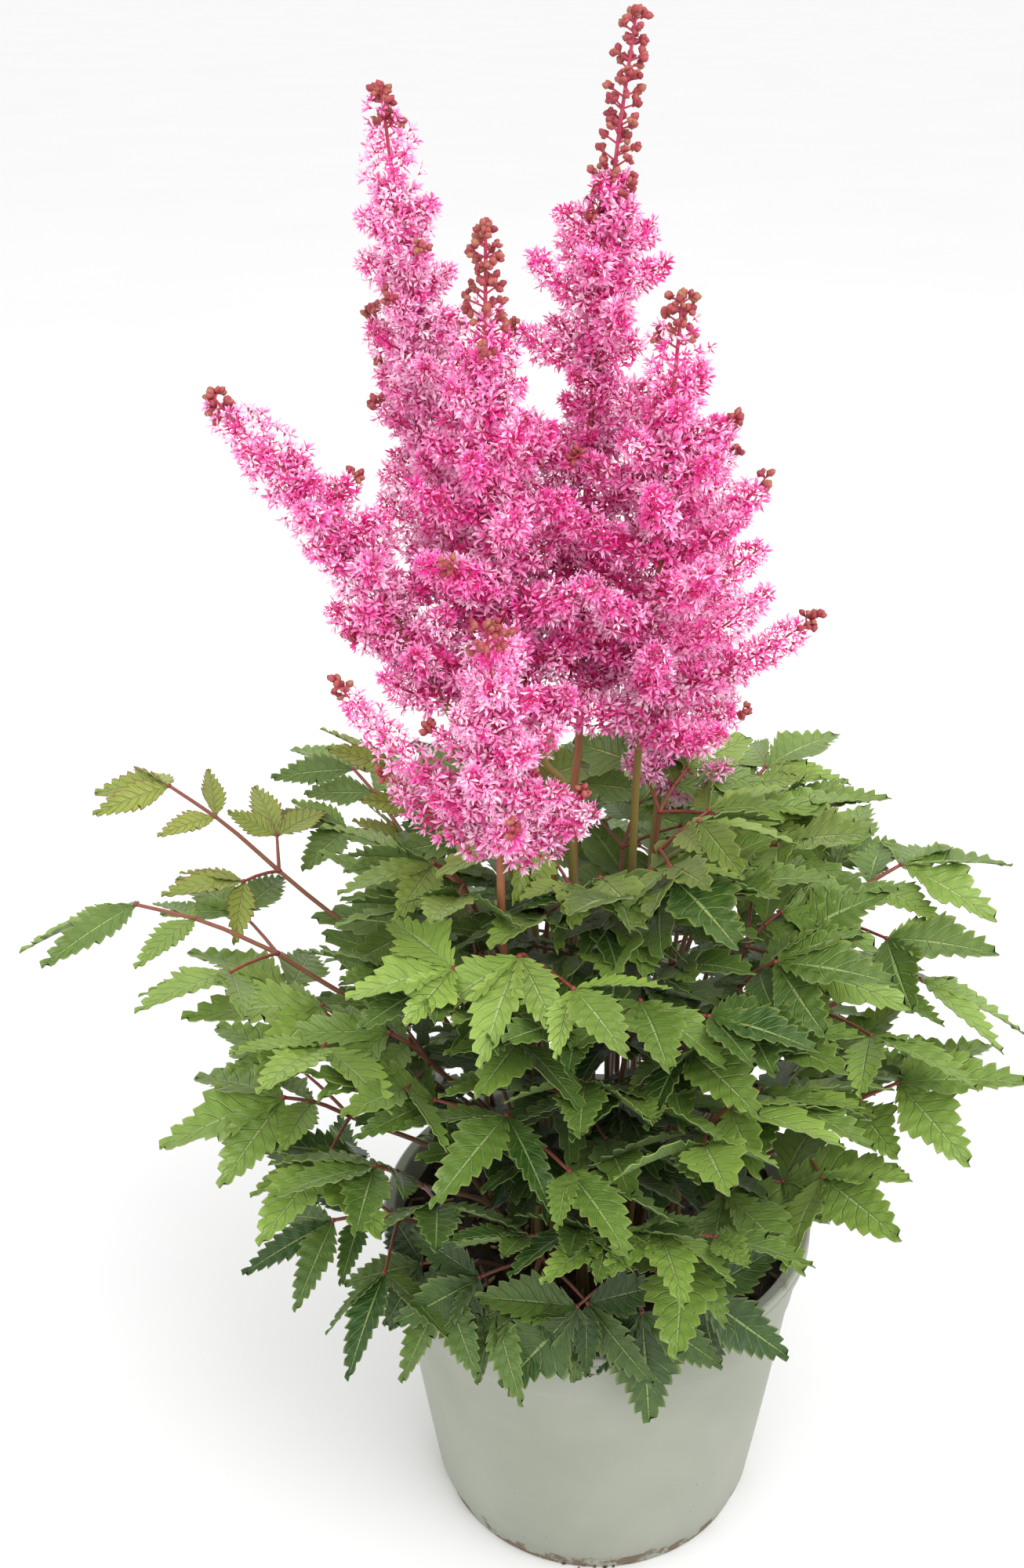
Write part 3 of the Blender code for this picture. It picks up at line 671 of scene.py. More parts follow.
class GrowthTree:
    """The Geometry Nodes tree that turns a growth's points into stalks and repeated shapes."""

    def __init__(self) -> None:
        """Builds the tree once; every growth uses it with its own inputs."""
        self.tree = bpy.data.node_groups.new("growth", "GeometryNodeTree")
        face = self.tree.interface
        face.new_socket("Growth", in_out="INPUT", socket_type="NodeSocketGeometry")
        sides = face.new_socket("Stalk Sides", in_out="INPUT", socket_type="NodeSocketInt")
        sides.default_value = 8
        for name in ("First Library", "Second Library"):
            face.new_socket(name, in_out="INPUT", socket_type="NodeSocketCollection")
        for name in ("Stalk Finish", "First Finish", "Second Finish"):
            face.new_socket(name, in_out="INPUT", socket_type="NodeSocketMaterial")
        face.new_socket("Grown", in_out="OUTPUT", socket_type="NodeSocketGeometry")
        self.inputs = self.node("NodeGroupInput", {}, {}).outputs
        grown = self.node("GeometryNodeJoinGeometry", {}, {})
        for made in (self._stalks(), self._items(Part.FIRST, "First"), self._items(Part.SECOND, "Second")):
            self.tree.links.new(made, grown.inputs[0])
        self.node("NodeGroupOutput", {}, {0: grown.outputs[0]})

    def node(self, kind: str, settings: dict, inputs: dict) -> bpy.types.Node:
        """Adds a node.

        Args:
            kind: The node's type.
            settings: Its properties.
            inputs: Input names or numbers, with a value or a socket each.

        Returns:
            The new node.
        """
        made = self.tree.nodes.new(kind)
        for name, value in settings.items():
            setattr(made, name, value)
        for name, value in inputs.items():
            if isinstance(value, Socket):
                self.tree.links.new(value, made.inputs[name])
            else:
                made.inputs[name].default_value = value
        return made

    def stored(self, name: str, kind: str) -> Socket:
        """A value stored on the points."""
        return self.node("GeometryNodeInputNamedAttribute", {"data_type": kind}, {"Name": name}).outputs[0]

    def only(self, part: Part) -> Socket:
        """The points of one kind.

        Args:
            part: The kind.

        Returns:
            Those points and the edges between them.
        """
        same = self.node("FunctionNodeCompare", {"data_type": "INT", "operation": "EQUAL"},
                         {2: self.stored("kind", "INT"), 3: part.value})
        return self.node("GeometryNodeSeparateGeometry", {"domain": "POINT"},
                         {"Geometry": self.inputs["Growth"], "Selection": same.outputs[0]}).outputs[0]

    def _stalks(self) -> Socket:
        """Edges swept into round stalks of each point's radius.

        Returns:
            The stalks' mesh.
        """
        curve = self.node("GeometryNodeMeshToCurve", {}, {0: self.only(Part.STALK)})
        wide = self.node("GeometryNodeSetCurveRadius", {},
                         {"Curve": curve.outputs[0], "Radius": self.stored("radius", "FLOAT")})
        ring = self.node("GeometryNodeCurvePrimitiveCircle", {},
                         {"Resolution": self.inputs["Stalk Sides"], "Radius": 1.0})
        swept = self.node("GeometryNodeCurveToMesh", {},
                          {"Curve": wide.outputs[0], "Fill Caps": True, "Profile Curve": ring.outputs[0]})
        for socket in swept.inputs:
            if socket.name == "Scale":
                self.tree.links.new(self.stored("radius", "FLOAT"), socket)
        smooth = self.node("GeometryNodeSetShadeSmooth", {}, {0: swept.outputs[0]})
        return self.node("GeometryNodeSetMaterial", {},
                         {0: smooth.outputs[0], "Material": self.inputs["Stalk Finish"]}).outputs[0]

    def _items(self, part: Part, name: str) -> Socket:
        """Shapes from one library, set on their points and made real.

        Args:
            part: The kind of the points.
            name: The first word of the inputs for their library and finish.

        Returns:
            The shapes' mesh.
        """
        cloud = self.node("GeometryNodeMeshToPoints", {}, {0: self.only(part)})
        library = self.node("GeometryNodeCollectionInfo", {}, {
            0: self.inputs[f"{name} Library"], "Separate Children": True, "Reset Children": True})
        turn = self.node("FunctionNodeEulerToRotation", {}, {0: self.stored("turn", "FLOAT_VECTOR")})
        placed = self.node("GeometryNodeInstanceOnPoints", {}, {
            "Points": cloud.outputs[0], "Instance": library.outputs[0], "Pick Instance": True,
            "Instance Index": self.stored("variant", "INT"), "Rotation": turn.outputs[0],
            "Scale": self.stored("size", "FLOAT_VECTOR")})
        real = self.node("GeometryNodeRealizeInstances", {}, {0: placed.outputs[0]})
        return self.node("GeometryNodeSetMaterial", {},
                         {0: real.outputs[0], "Material": self.inputs[f"{name} Finish"]}).outputs[0]

    def grow(self, growth: Growth, libraries: tuple["Library", "Library"],
             finishes: tuple[Material, ...], sides: int = 8) -> bpy.types.Object:
        """Makes a growth's piece.

        Args:
            growth: The points.
            libraries: The two libraries of repeated shapes.
            finishes: The stalks' material and each library's.
            sides: The number of sides of a stalk.

        Returns:
            The piece, a plain mesh without modifiers.
        """
        made = growth.base_mesh()
        modifier = made.modifiers.new("grow", "NODES")
        modifier.node_group = self.tree
        values = {"Stalk Sides": sides, "Stalk Finish": finishes[0]}
        for name, library, finish in zip(("First", "Second"), libraries, finishes[1:]):
            values[f"{name} Library"] = library.collection
            values[f"{name} Finish"] = finish
        for socket in self.tree.interface.items_tree:
            if socket.name in values:
                modifier[socket.identifier] = values[socket.name]
        bpy.context.view_layer.update()
        graph = bpy.context.evaluated_depsgraph_get()
        mesh = bpy.data.meshes.new_from_object(made.evaluated_get(graph))
        made.modifiers.remove(modifier)
        made.data = mesh
        for extra in ("kind", "variant", "radius", "turn", "size"):
            if extra in mesh.attributes:
                mesh.attributes.remove(mesh.attributes[extra])
        return made


class Library:
    """Shapes that are repeated, kept in a collection of their own until the pieces are made."""

    def __init__(self, name: str) -> None:
        """Starts an empty library.

        Args:
            name: The collection's name.
        """
        self.collection = bpy.data.collections.new(name)
        bpy.context.scene.collection.children.link(self.collection)

    def add(self, verts: list[Vector], faces: list[Face], numbers: dict[str, list[float]],
            uvs: list[Pair] | None = None, smooth: bool = True,
            sharp: set[frozenset[int]] | None = None) -> None:
        """Adds a shape.

        Args:
            verts: Its points in metres.
            faces: Its faces.
            numbers: Values stored on its points.
            uvs: A flat place for each point, or None.
            smooth: Whether its faces are shaded smooth.
            sharp: Edges that stay sharp, as pairs of point numbers.
        """
        mesh = bpy.data.meshes.new(f"{self.collection.name}_{len(self.collection.objects):02d}")
        mesh.from_pydata(verts, [], faces)
        for name, values in numbers.items():
            mesh.attributes.new(name, "FLOAT", "POINT").data.foreach_set("value", values)
        if uvs:
            layer = mesh.uv_layers.new(name="blade")
            for loop in mesh.loops:
                layer.data[loop.index].uv = uvs[loop.vertex_index]
        for polygon in mesh.polygons:
            polygon.use_smooth = smooth
        for edge in mesh.edges:
            if sharp and frozenset(edge.vertices) in sharp:
                edge.use_edge_sharp = True
        self.collection.objects.link(bpy.data.objects.new(mesh.name, mesh))

    def remove(self) -> None:
        """Takes the library out of the file."""
        for obj in list(self.collection.objects):
            bpy.data.objects.remove(obj)
        bpy.data.collections.remove(self.collection)


@dataclass(frozen=True)
class Strap:
    """The petals or the stamens of a floret: how many, how they lean and how large they are.

    Shades are at the root, the widest place and the tip, and widest is that place's share of the
    length. Uneven is how far, in shares of the gap between two, one strays round the floret.
    """

    count: int
    uneven: float
    tilt: Pair
    length: float
    width: float
    shades: tuple[float, float, float]
    widest: float


@dataclass
class FloretMesh:
    """One floret's points in metres, its faces and its points' shades, while it is made."""

    verts: list[Vector] = field(default_factory=list)
    faces: list[Face] = field(default_factory=list)
    along: list[float] = field(default_factory=list)


@dataclass
class FloretShapes:
    """Open florets: five strap petals that curl, with stamens between them and a small calyx."""

    variants: int = 10
    petal: Strap = Strap(5, 0.25, (0.45, 1.7), 4.7, 1.50, (0.12, 0.62, 1.0), 0.60)
    stamen: Strap = Strap(2, 0.30, (0.1, 0.9), 4.2, 0.36, (0.3, 0.9, 1.0), 0.88)
    calyx: tuple[Point, ...] = ((0.0, 0.0, -1.5), (0.8, 0.0, 0.3), (-0.4, 0.7, 0.3), (-0.4, -0.7, 0.3))
    seed: int = 11

    def build(self) -> Library:
        """Makes every variant.

        Returns:
            The library of florets, each opening along its Z axis.
        """
        library = Library("florets")
        rng = random.Random(self.seed)
        for _ in range(self.variants):
            mesh = FloretMesh()
            for strap in (self.petal, self.stamen):
                for i in range(strap.count):
                    around = 2 * math.pi * (i + rng.uniform(-strap.uneven, strap.uneven)) / strap.count
                    self._strap(mesh, strap, around, rng)
            start = len(mesh.verts)
            mesh.verts += [Vector(corner) * MM for corner in self.calyx]
            mesh.along += [0.0] * len(self.calyx)
            for face in ((0, 2, 1), (0, 3, 2), (0, 1, 3), (1, 2, 3)):
                mesh.faces.append(tuple(start + k for k in face))
            library.add(mesh.verts, mesh.faces, {"along": mesh.along}, smooth=False)
        return library

    def _strap(self, mesh: FloretMesh, strap: Strap, around: float, rng: random.Random) -> None:
        """Adds one petal or stamen as a thin closed kite, folded along its middle.

        Args:
            mesh: The floret, added to.
            strap: What is added.
            around: Its angle round the floret.
            rng: The draw for the florets.
        """
        tilt = rng.uniform(*strap.tilt)
        length = strap.length * rng.uniform(0.75, 1.15)
        way = Vector((math.sin(tilt) * math.cos(around), math.sin(tilt) * math.sin(around), math.cos(tilt)))
        side = Vector((-math.sin(around), math.cos(around), 0))
        side = (side + UP * rng.uniform(-0.8, 0.8)).normalized()
        side = (side - way * side.dot(way)).normalized()
        lift = way.cross(side)
        curl = rng.uniform(0.05, 0.16) * length * rng.choice((-1, 1))
        middle = way * length * strap.widest + lift * curl
        start = len(mesh.verts)
        half = side * strap.width / 2
        mesh.verts += [place * MM for place in (way * 0.2, middle - half, middle + half, way * length)]
        root, widest, tip = strap.shades
        mesh.along += [root, widest, widest, tip]
        for face in ((0, 1, 2), (3, 2, 1), (0, 3, 1), (0, 2, 3)):
            face = face if curl > 0 else face[::-1]
            mesh.faces.append(tuple(start + k for k in face))


@dataclass
class BudShapes:
    """Closed buds on short pedicels: small eggs, a little ribbed.

    A ring pairs a height with a share of the radius. Twist is the radians each millimetre turns.
    """

    variants: int = 4
    radius: float = 1.15
    rings: tuple[Pair, ...] = ((0.35, 0.55), (1.5, 1.05), (2.5, 0.66))
    sides: int = 5
    root: float = -0.9
    tip: float = 3.1
    twist: float = 0.3
    ribbing: float = 0.08
    seed: int = 5

    def build(self) -> Library:
        """Makes every variant.

        Returns:
            The library of buds, each standing on its Z axis.
        """
        library = Library("buds")
        rng = random.Random(self.seed)
        for _ in range(self.variants):
            plump = rng.uniform(0.85, 1.1)
            verts = [Vector((0, 0, self.root)) * MM]
            for height, wide in self.rings:
                for j in range(self.sides):
                    angle = 2 * math.pi * j / self.sides + height * self.twist
                    radius = self.radius * wide * plump * (1 + self.ribbing * (-1) ** j)
                    verts.append(Vector((radius * math.cos(angle), radius * math.sin(angle), height)) * MM)
            verts.append(Vector((0, 0, self.tip)) * MM)
            top = len(verts) - 1
            faces: list[Face] = []
            for j in range(self.sides):
                k = (j + 1) % self.sides
                faces.append((0, 1 + k, 1 + j))
                faces.append((top, top - self.sides + j, top - self.sides + k))
                for i in range(len(self.rings) - 1):
                    low = 1 + i * self.sides
                    high = low + self.sides
                    faces.append((low + j, low + k, high + k, high + j))
            library.add(verts, faces, {})
        return library


@dataclass(frozen=True)
class LeafletCut:
    """How one leaflet is cut: its width, its lobes and its teeth, as shares of its length.

    Skew is the share by which its left half is wider than the mean, and its right half narrower.
    """

    width: float
    widest: float = 0.42
    lobes: float = 0.0
    lobe_count: float = 2.0
    tooth: float = 0.031
    skew: float = 0.0


@dataclass
class LeafletShapes:
    """Leaflets one metre long: folded along the rib, puckered between side veins, doubly toothed.

    A leaflet is a row of stations from root to tip. Tooth steps repeat along the stations, in shares
    of the cut's tooth, and each tooth also leans ahead.
    """

    name: str = "leaflets"
    stations: int = 30
    tooth_steps: tuple[float, ...] = (-0.9, 0.35, 1.0)
    tooth_lean: float = 0.020
    toothed_from: float = 0.08
    tooth_taper: float = 0.45
    root_curve: float = 1.1
    tip_curve: float = 1.45
    least_half: float = 0.006
    thickness: float = 0.009
    fold: float = 0.30
    sag: float = 0.14
    pucker: float = 0.011
    twist: float = 0.25
    cuts: tuple[LeafletCut, ...] = (
        LeafletCut(0.31, 0.40),
        LeafletCut(0.34, 0.44, skew=0.08),
        LeafletCut(0.32, 0.38, 0.07, 2.6, skew=-0.08),
        LeafletCut(0.38, 0.42),
        LeafletCut(0.42, 0.46, 0.09, 2.4, 0.034),
        LeafletCut(0.40, 0.40, skew=0.10),
        LeafletCut(0.46, 0.46, 0.14, 2.4, 0.036),
        LeafletCut(0.42, 0.44, 0.07, 2.8, skew=-0.08),
        LeafletCut(0.52, 0.48, 0.22, 2.2, 0.038),
    )
    seed: int = 3

    def build(self) -> Library:
        """Makes a leaflet for each cut.

        Returns:
            The library of leaflets, each lying along X with its upper side up.
        """
        library = Library(self.name)
        rng = random.Random(self.seed)
        for cut in self.cuts:
            library.add(*self._leaflet(cut, rng))
        return library

    def _half_width(self, cut: LeafletCut, share: float) -> float:
        """Half the blade's width, before its teeth.

        Args:
            cut: How the leaflet is cut.
            share: The share of its length.

        Returns:
            The half width as a share of the length.
        """
        if share < cut.widest:
            rise = math.sin(math.pi / 2 * share / cut.widest) ** self.root_curve
        else:
            rise = 1 - ((share - cut.widest) / (1 - cut.widest)) ** self.tip_curve
        lobes = 1 + cut.lobes * math.cos(2 * math.pi * cut.lobe_count * (share - cut.widest))
        return cut.width / 2 * rise * lobes + self.least_half

    def _row(self, cut: LeafletCut, i: int, twist: float,
             rng: random.Random) -> list[tuple[Vector, Pair]]:
        """The upper side's five points at one station, from edge to edge.

        Args:
            cut: How the leaflet is cut.
            i: The station's number.
            twist: How far the leaflet is twisted by its tip.
            rng: The draw for the leaflets.

        Returns:
            Each point with its place on the flat blade.
        """
        share = i / self.stations
        row = []
        for side, across in ((-1, 1.0), (-1, 0.5), (0, 0.0), (1, 0.5), (1, 1.0)):
            half = self._half_width(cut, share) * (1 + side * cut.skew)
            ahead = share
            if across == 1.0 and self.toothed_from < share < 1:
                out = self.tooth_steps[(i + (side > 0)) % len(self.tooth_steps)] * rng.uniform(0.75, 1.25)
                half = max(half + cut.tooth * out * (1 - self.tooth_taper * share), 0.007)
                ahead += self.tooth_lean * out
            ribs = math.cos(2 * math.pi * (share * SIDE_VEINS - across * VEIN_SLANT))
            y = side * across * half
            z = self.fold * abs(y) - self.sag * share * share + self.pucker * ribs * across
            row.append((Vector((ahead, y, z + twist * y * share)), (share, 0.5 + side * across / 2)))
        return row

    def _leaflet(self, cut: LeafletCut, rng: random.Random) -> tuple:
        """One leaflet as a thin closed blade.

        Args:
            cut: How it is cut.
            rng: The draw for the leaflets.

        Returns:
            Its points, faces, values, flat places, smoothness and sharp edges, for the library.
        """
        twist = rng.uniform(-self.twist, self.twist)
        rows = [self._row(cut, i, twist, rng) for i in range(self.stations + 1)]
        top = [pair for row in rows for pair in row]
        low = [row[j] for row in rows for j in (0, 2, 4)]
        verts = [place for place, _ in top] + [place - UP * self.thickness for place, _ in low]
        uvs = [flat for _, flat in top + low]
        under = [0.0] * len(top) + [1.0] * len(low)
        faces: list[Face] = []
        sharp: set[frozenset[int]] = set()
        for i in range(self.stations):
            a, c = i * 5, len(top) + i * 3
            faces += [(a + j, a + j + 5, a + j + 6, a + j + 1) for j in range(4)]
            faces += [(c + j, c + j + 1, c + j + 4, c + j + 3) for j in range(2)]
            faces += [(a, c, c + 3, a + 5), (a + 4, a + 9, c + 5, c + 2)]
            for edge in ((a, a + 5), (a + 4, a + 9), (c, c + 3), (c + 2, c + 5)):
                sharp.add(frozenset(edge))
        a, c, e = self.stations * 5, len(top) + self.stations * 3, len(top)
        faces += [(0, 1, 2, e + 1, e), (2, 3, 4, e + 2, e + 1)]
        faces += [(a + 2, a + 1, a, c, c + 1), (a + 4, a + 3, a + 2, c + 1, c + 2)]
        return verts, faces, {"underside": under}, uvs, True, sharp


@dataclass
class JointShapes:
    """The small swollen joints where leaflets and arms spring."""

    redness: float = 0.95

    def build(self) -> Library:
        """Makes one joint.

        Returns:
            The library, with one small ball a millimetre in radius.
        """
        library = Library("joints")
        ball, faces = small_ball()
        library.add(ball, faces, {"redness": [self.redness] * len(ball)})
        return library


def small_ball() -> tuple[list[Vector], list[Face]]:
    """A coarse ball a millimetre in radius.

    Returns:
        Its points in metres and its faces.
    """
    made = bmesh.new()
    bmesh.ops.create_icosphere(made, subdivisions=1, radius=MM)
    verts = [vert.co.copy() for vert in made.verts]
    faces = [tuple(vert.index for vert in face.verts) for face in made.faces]
    made.free()
    return verts, faces


def smooth_route(points: list[Vector | Point], count: int) -> list[Vector]:
    """Evenly shared points along a smooth curve.

    Args:
        points: Places that the curve runs through.
        count: How many points to give back.

    Returns:
        The points, ends included.
    """
    knots = [Vector(p) for p in points]
    knots = [2 * knots[0] - knots[1], *knots, 2 * knots[-1] - knots[-2]]
    fine = []
    steps = 12
    for a, b, c, d in zip(knots, knots[1:], knots[2:], knots[3:]):
        for s in range(steps):
            t = s / steps
            fine.append(0.5 * (2 * b + (c - a) * t + (2 * a - 5 * b + 4 * c - d) * t ** 2
                               + (3 * b - a - 3 * c + d) * t ** 3))
    fine.append(knots[-2])
    lengths = [0.0]
    for a, b in zip(fine, fine[1:]):
        lengths.append(lengths[-1] + (b - a).length)
    made = []
    k = 0
    for i in range(count):
        wanted = lengths[-1] * i / (count - 1)
        while k < len(fine) - 2 and lengths[k + 1] < wanted:
            k += 1
        share = (wanted - lengths[k]) / max(lengths[k + 1] - lengths[k], 1e-9)
        made.append(fine[k].lerp(fine[k + 1], min(share, 1)))
    return made


def route_length(points: list[Vector]) -> float:
    """The length along a run of points."""
    return sum((b - a).length for a, b in zip(points, points[1:]))


def at_share(pairs: tuple[Pair, ...], share: float) -> float:
    """The value at a share, along straight lines between the given pairs.

    Args:
        pairs: Shares, each with its value.
        share: Where the value is wanted.

    Returns:
        The value, which past the last pair is the last one's.
    """
    for (a, low), (b, high) in zip(pairs, pairs[1:]):
        if share <= b:
            return low + (high - low) * (share - a) / (b - a)
    return pairs[-1][1]


def axes_of(way: Vector, roll: float) -> Matrix:
    """A turn whose Z axis lies along a way.

    Args:
        way: The direction of Z.
        roll: How far it is turned about Z.

    Returns:
        The turn as a 3 by 3 matrix.
    """
    return way.to_track_quat("Z", "Y").to_matrix() @ Matrix.Rotation(roll, 3, "Z")


@dataclass
class Plume:
    """One flower stem with its plume. Lengths are in millimetres, angles of leaders in degrees.

    Reach pairs a share of the flowering length with how far the side sprays stand out there. A
    leader is a spray with its own place: share, azimuth, length and rise. Buds stand in place of
    florets above the share bud_from. The stem's own tip carries florets from tip_from, or, where
    that is 0, from about where the side sprays grow short.
    """

    name: str
    foot: Pair
    route: tuple[Point, ...]
    bloom_from: float
    reach: tuple[Pair, ...]
    turn: float
    leaders: tuple[tuple[float, float, float, float], ...] = ()
    bud_from: float = 0.93
    pale: float = 0.45
    redness: Pair = (0.02, 0.30)
    tip_from: float = 0.0
    tip_density: float = 1.45
    bud_reach: float = 4.2
    bunch_gap: float = 3.9
    spray_to: float = 0.80
    spray_gap: float = 4.75
    spray_radius: float = 8.6
    spray_bud_from: float = 0.90
    spray_bud_reach: float = 1.4
    budded_sprays: float = 0.10
    shortest_spray: float = 5.0
    floret_gap: float = 0.49
    stem_radius: float = 2.1
    stem_taper: float = 0.72
    stem_points: int = 90
    rng: random.Random = field(init=False)

    def __post_init__(self) -> None:
        """Seeds the plume's own draw."""
        self.rng = random.Random(self.name)

    def route_points(self) -> list[Vector]:
        """The stem from above the peat to its tip."""
        x, y = self.foot
        return smooth_route([(x, y, SOIL_TOP_Z + UPRIGHT), *self.route], self.stem_points)

    def tip_share(self) -> float:
        """The share of the flowering length from which the stem's own tip carries florets."""
        return next((share for share, reach in self.reach if reach < 30), 0.5)

    def grow(self) -> Growth:
        """Gathers the stem, its sprays, florets and buds.

        Returns:
            The growth, ready for the tree.
        """
        growth = Growth(f"{self.name}_bloom")
        stem = self.route_points()
        bloom = [p for p in stem if p.z >= self.bloom_from]
        bare = [p for p in stem if p.z < self.bloom_from] + bloom[:1]
        bottom = Vector((*self.foot, SOIL_TOP_Z - HOLE_DEPTH))
        waist = self.stem_radius * self.stem_taper
        growth.stalk([bottom, *bare], (self.stem_radius, waist), self.redness)
        growth.stalk(bloom, (waist, 0.55), (self.redness[1], 0.95))
        self._tip(growth, bloom)
        count = round(route_length(bloom) * self.spray_to / self.spray_gap)
        for i in range(count):
            share = max(self.spray_to * (i + self.rng.uniform(-0.3, 0.3)) / count, 0)
            reach = at_share(self.reach, share) * self.rng.uniform(0.72, 1.08)
            azimuth = math.radians(self.turn) + GOLDEN_ANGLE * i
            rise = reach * self.rng.uniform(0.35, 0.7)
            bud_from = self.spray_bud_from if self.rng.random() < self.budded_sprays else 1.0
            self._spray(growth, bloom, share, azimuth, reach, rise, bud_from)
        for share, azimuth, reach, rise in self.leaders:
            self._spray(growth, bloom, share, math.radians(azimuth), reach, rise, self.spray_bud_from)
        return growth

    def _tip(self, growth: Growth, bloom: list[Vector]) -> None:
        """Adds florets round the stem's own tip, and buds on short branchlets above them.

        Args:
            growth: What they are added to.
            bloom: The flowering part of the stem.
        """
        start = self.tip_from or self.tip_share() * 0.82
        steps = round(route_length(bloom) * (1 - start) / self.floret_gap * self.tip_density)
        for k in range(steps):
            share = start + (1 - start) * k / steps
            if share + self.rng.uniform(-0.04, 0.04) < self.bud_from:
                wide = min(at_share(self.reach, share) * 0.9 + 1.5, self.spray_radius * 1.35)
                self._floret(growth, bloom, share, k, wide)
        self._buds(growth, bloom, self.bud_from - 0.04, self.bud_reach)

    def _spray(self, growth: Growth, bloom: list[Vector], share: float, azimuth: float, reach: float,
               rise: float, bud_from: float) -> None:
        """Adds one side spray: a thin red axis with florets all round, and on some buds at its end.

        Args:
            growth: What it is added to.
            bloom: The flowering part of the stem.
            share: Where on it the spray springs.
            azimuth: The way it points, in radians.
            reach: How far it stands out.
            rise: How far it climbs.
            bud_from: The share of its length above which it has buds, or 1 for none.
        """
        if reach < self.shortest_spray:
            return
        root = bloom[min(round(share * (len(bloom) - 1)), len(bloom) - 2)]
        out = Vector((math.cos(azimuth), math.sin(azimuth), 0))
        middle = root + out * reach * 0.52 + UP * rise * 0.34
        tip = root + out * reach + UP * rise
        route = smooth_route([root, middle, tip], 8)
        growth.stalk(route, (0.62, 0.3), (0.9, 1.0))
        steps = round(route_length(route) / self.floret_gap)
        for k in range(steps):
            along = 0.06 + 0.94 * k / steps
            wide = self.spray_radius * min(1.0, 0.55 + reach / 90) * (1 - 0.60 * along ** 2.4)
            if along < bud_from:
                self._floret(growth, route, along, k, wide)
        if bud_from < 1:
            self._buds(growth, route, bud_from, self.spray_bud_reach)

    def _beside(self, route: list[Vector], share: float, k: int) -> tuple[Vector, Vector, Vector]:
        """A place on an axis, with the ways that something there may face.

        Args:
            route: The axis.
            share: The place on it.
            k: The number of what stands there, which goes round by the golden angle.

        Returns:
            The place, the way ahead there, and a way out from it.
        """
        place = share * (len(route) - 1)
        i = min(int(place), len(route) - 2)
        ahead = (route[i + 1] - route[i]).normalized()
        side = ahead.orthogonal().normalized()
        angle = GOLDEN_ANGLE * k + self.rng.uniform(-0.4, 0.4)
        out = side * math.cos(angle) + ahead.cross(side) * math.sin(angle)
        return route[i].lerp(route[i + 1], place - i), ahead, out

    def _floret(self, growth: Growth, route: list[Vector], share: float, k: int, wide: float) -> None:
        """Adds one floret beside an axis, facing out and a little ahead; paler further out, as painted light.

        Args:
            growth: What it is added to.
            route: The axis.
            share: The floret's place on it.
            k: The floret's number.
            wide: How far out florets stand there.
        """
        rng = self.rng
        point, ahead, out = self._beside(route, share, k)
        lean = (out + ahead * rng.uniform(-0.1, 0.9) + UP * 0.15).normalized()
        away = rng.random() ** 0.7
        point = point + out * wide * (0.12 + 0.84 * away)
        # Painted light and shade: florets further from the axis are paler, those near it deeper pink; the
        # gauss spread is the floret's own tone.
        tint = min(max(rng.gauss(self.pale + 0.55 * (away - 0.55), 0.20), 0), 1)
        size = rng.uniform(0.72, 1.12) * (1 - 0.22 * share)
        axes = axes_of(lean, rng.uniform(0, ANY_TURN))
        growth.item(Part.FIRST, point, axes, size, tint, rng.randrange(FloretShapes.variants))

    def _buds(self, growth: Growth, route: list[Vector], start: float, wide: float) -> None:
        """Adds round buds in small bunches to an axis's end, with one bunch at the very end.

        Args:
            growth: What they are added to.
            route: The axis.
            start: The share of it from which it has buds.
            wide: How far out the bunches stand.
        """
        rng = self.rng
        bunches = max(round(route_length(route) * (1 - start) / self.bunch_gap), 1)
        for k in range(bunches):
            share = start + (1 - start) * (k + 0.5) / bunches
            reach = wide * (1.9 - 1.1 * (share - start) / (1 - start))
            for turn in range(3):
                jitter = rng.uniform(-0.35, 0.35) * (1 - start) / bunches
                point, ahead, out = self._beside(route, min(share + jitter, 0.995), 3 * k + turn)
                end = point + (out + ahead * 0.5).normalized() * reach * rng.uniform(0.6, 1.15)
                growth.stalk([point, end], (0.4, 0.3), (0.95, 0.9))
                self._bunch(growth, end, out + ahead * 0.6, rng.randrange(4, 7) if wide > 2 else 3)
        self._bunch(growth, route[-1], (route[-1] - route[-2]).normalized() * 2, round(wide * 3))

    def _bunch(self, growth: Growth, end: Vector, ahead: Vector, count: int) -> None:
        """Adds a few buds that touch each other round the end of a branchlet.

        Args:
            growth: What they are added to.
            end: The branchlet's end.
            ahead: The way that most of them face.
            count: How many there are.
        """
        rng = self.rng
        for _ in range(count):
            loose = Vector((rng.uniform(-1, 1), rng.uniform(-1, 1), rng.uniform(-1, 1)))
            way = (ahead + loose * 1.3).normalized()
            size = rng.uniform(0.72, 1.18)
            place = end + way * rng.uniform(-0.8, 1.0)
            axes = axes_of(way, rng.uniform(0, ANY_TURN))
            growth.item(Part.SECOND, place, axes, size, rng.random(), rng.randrange(BudShapes.variants))


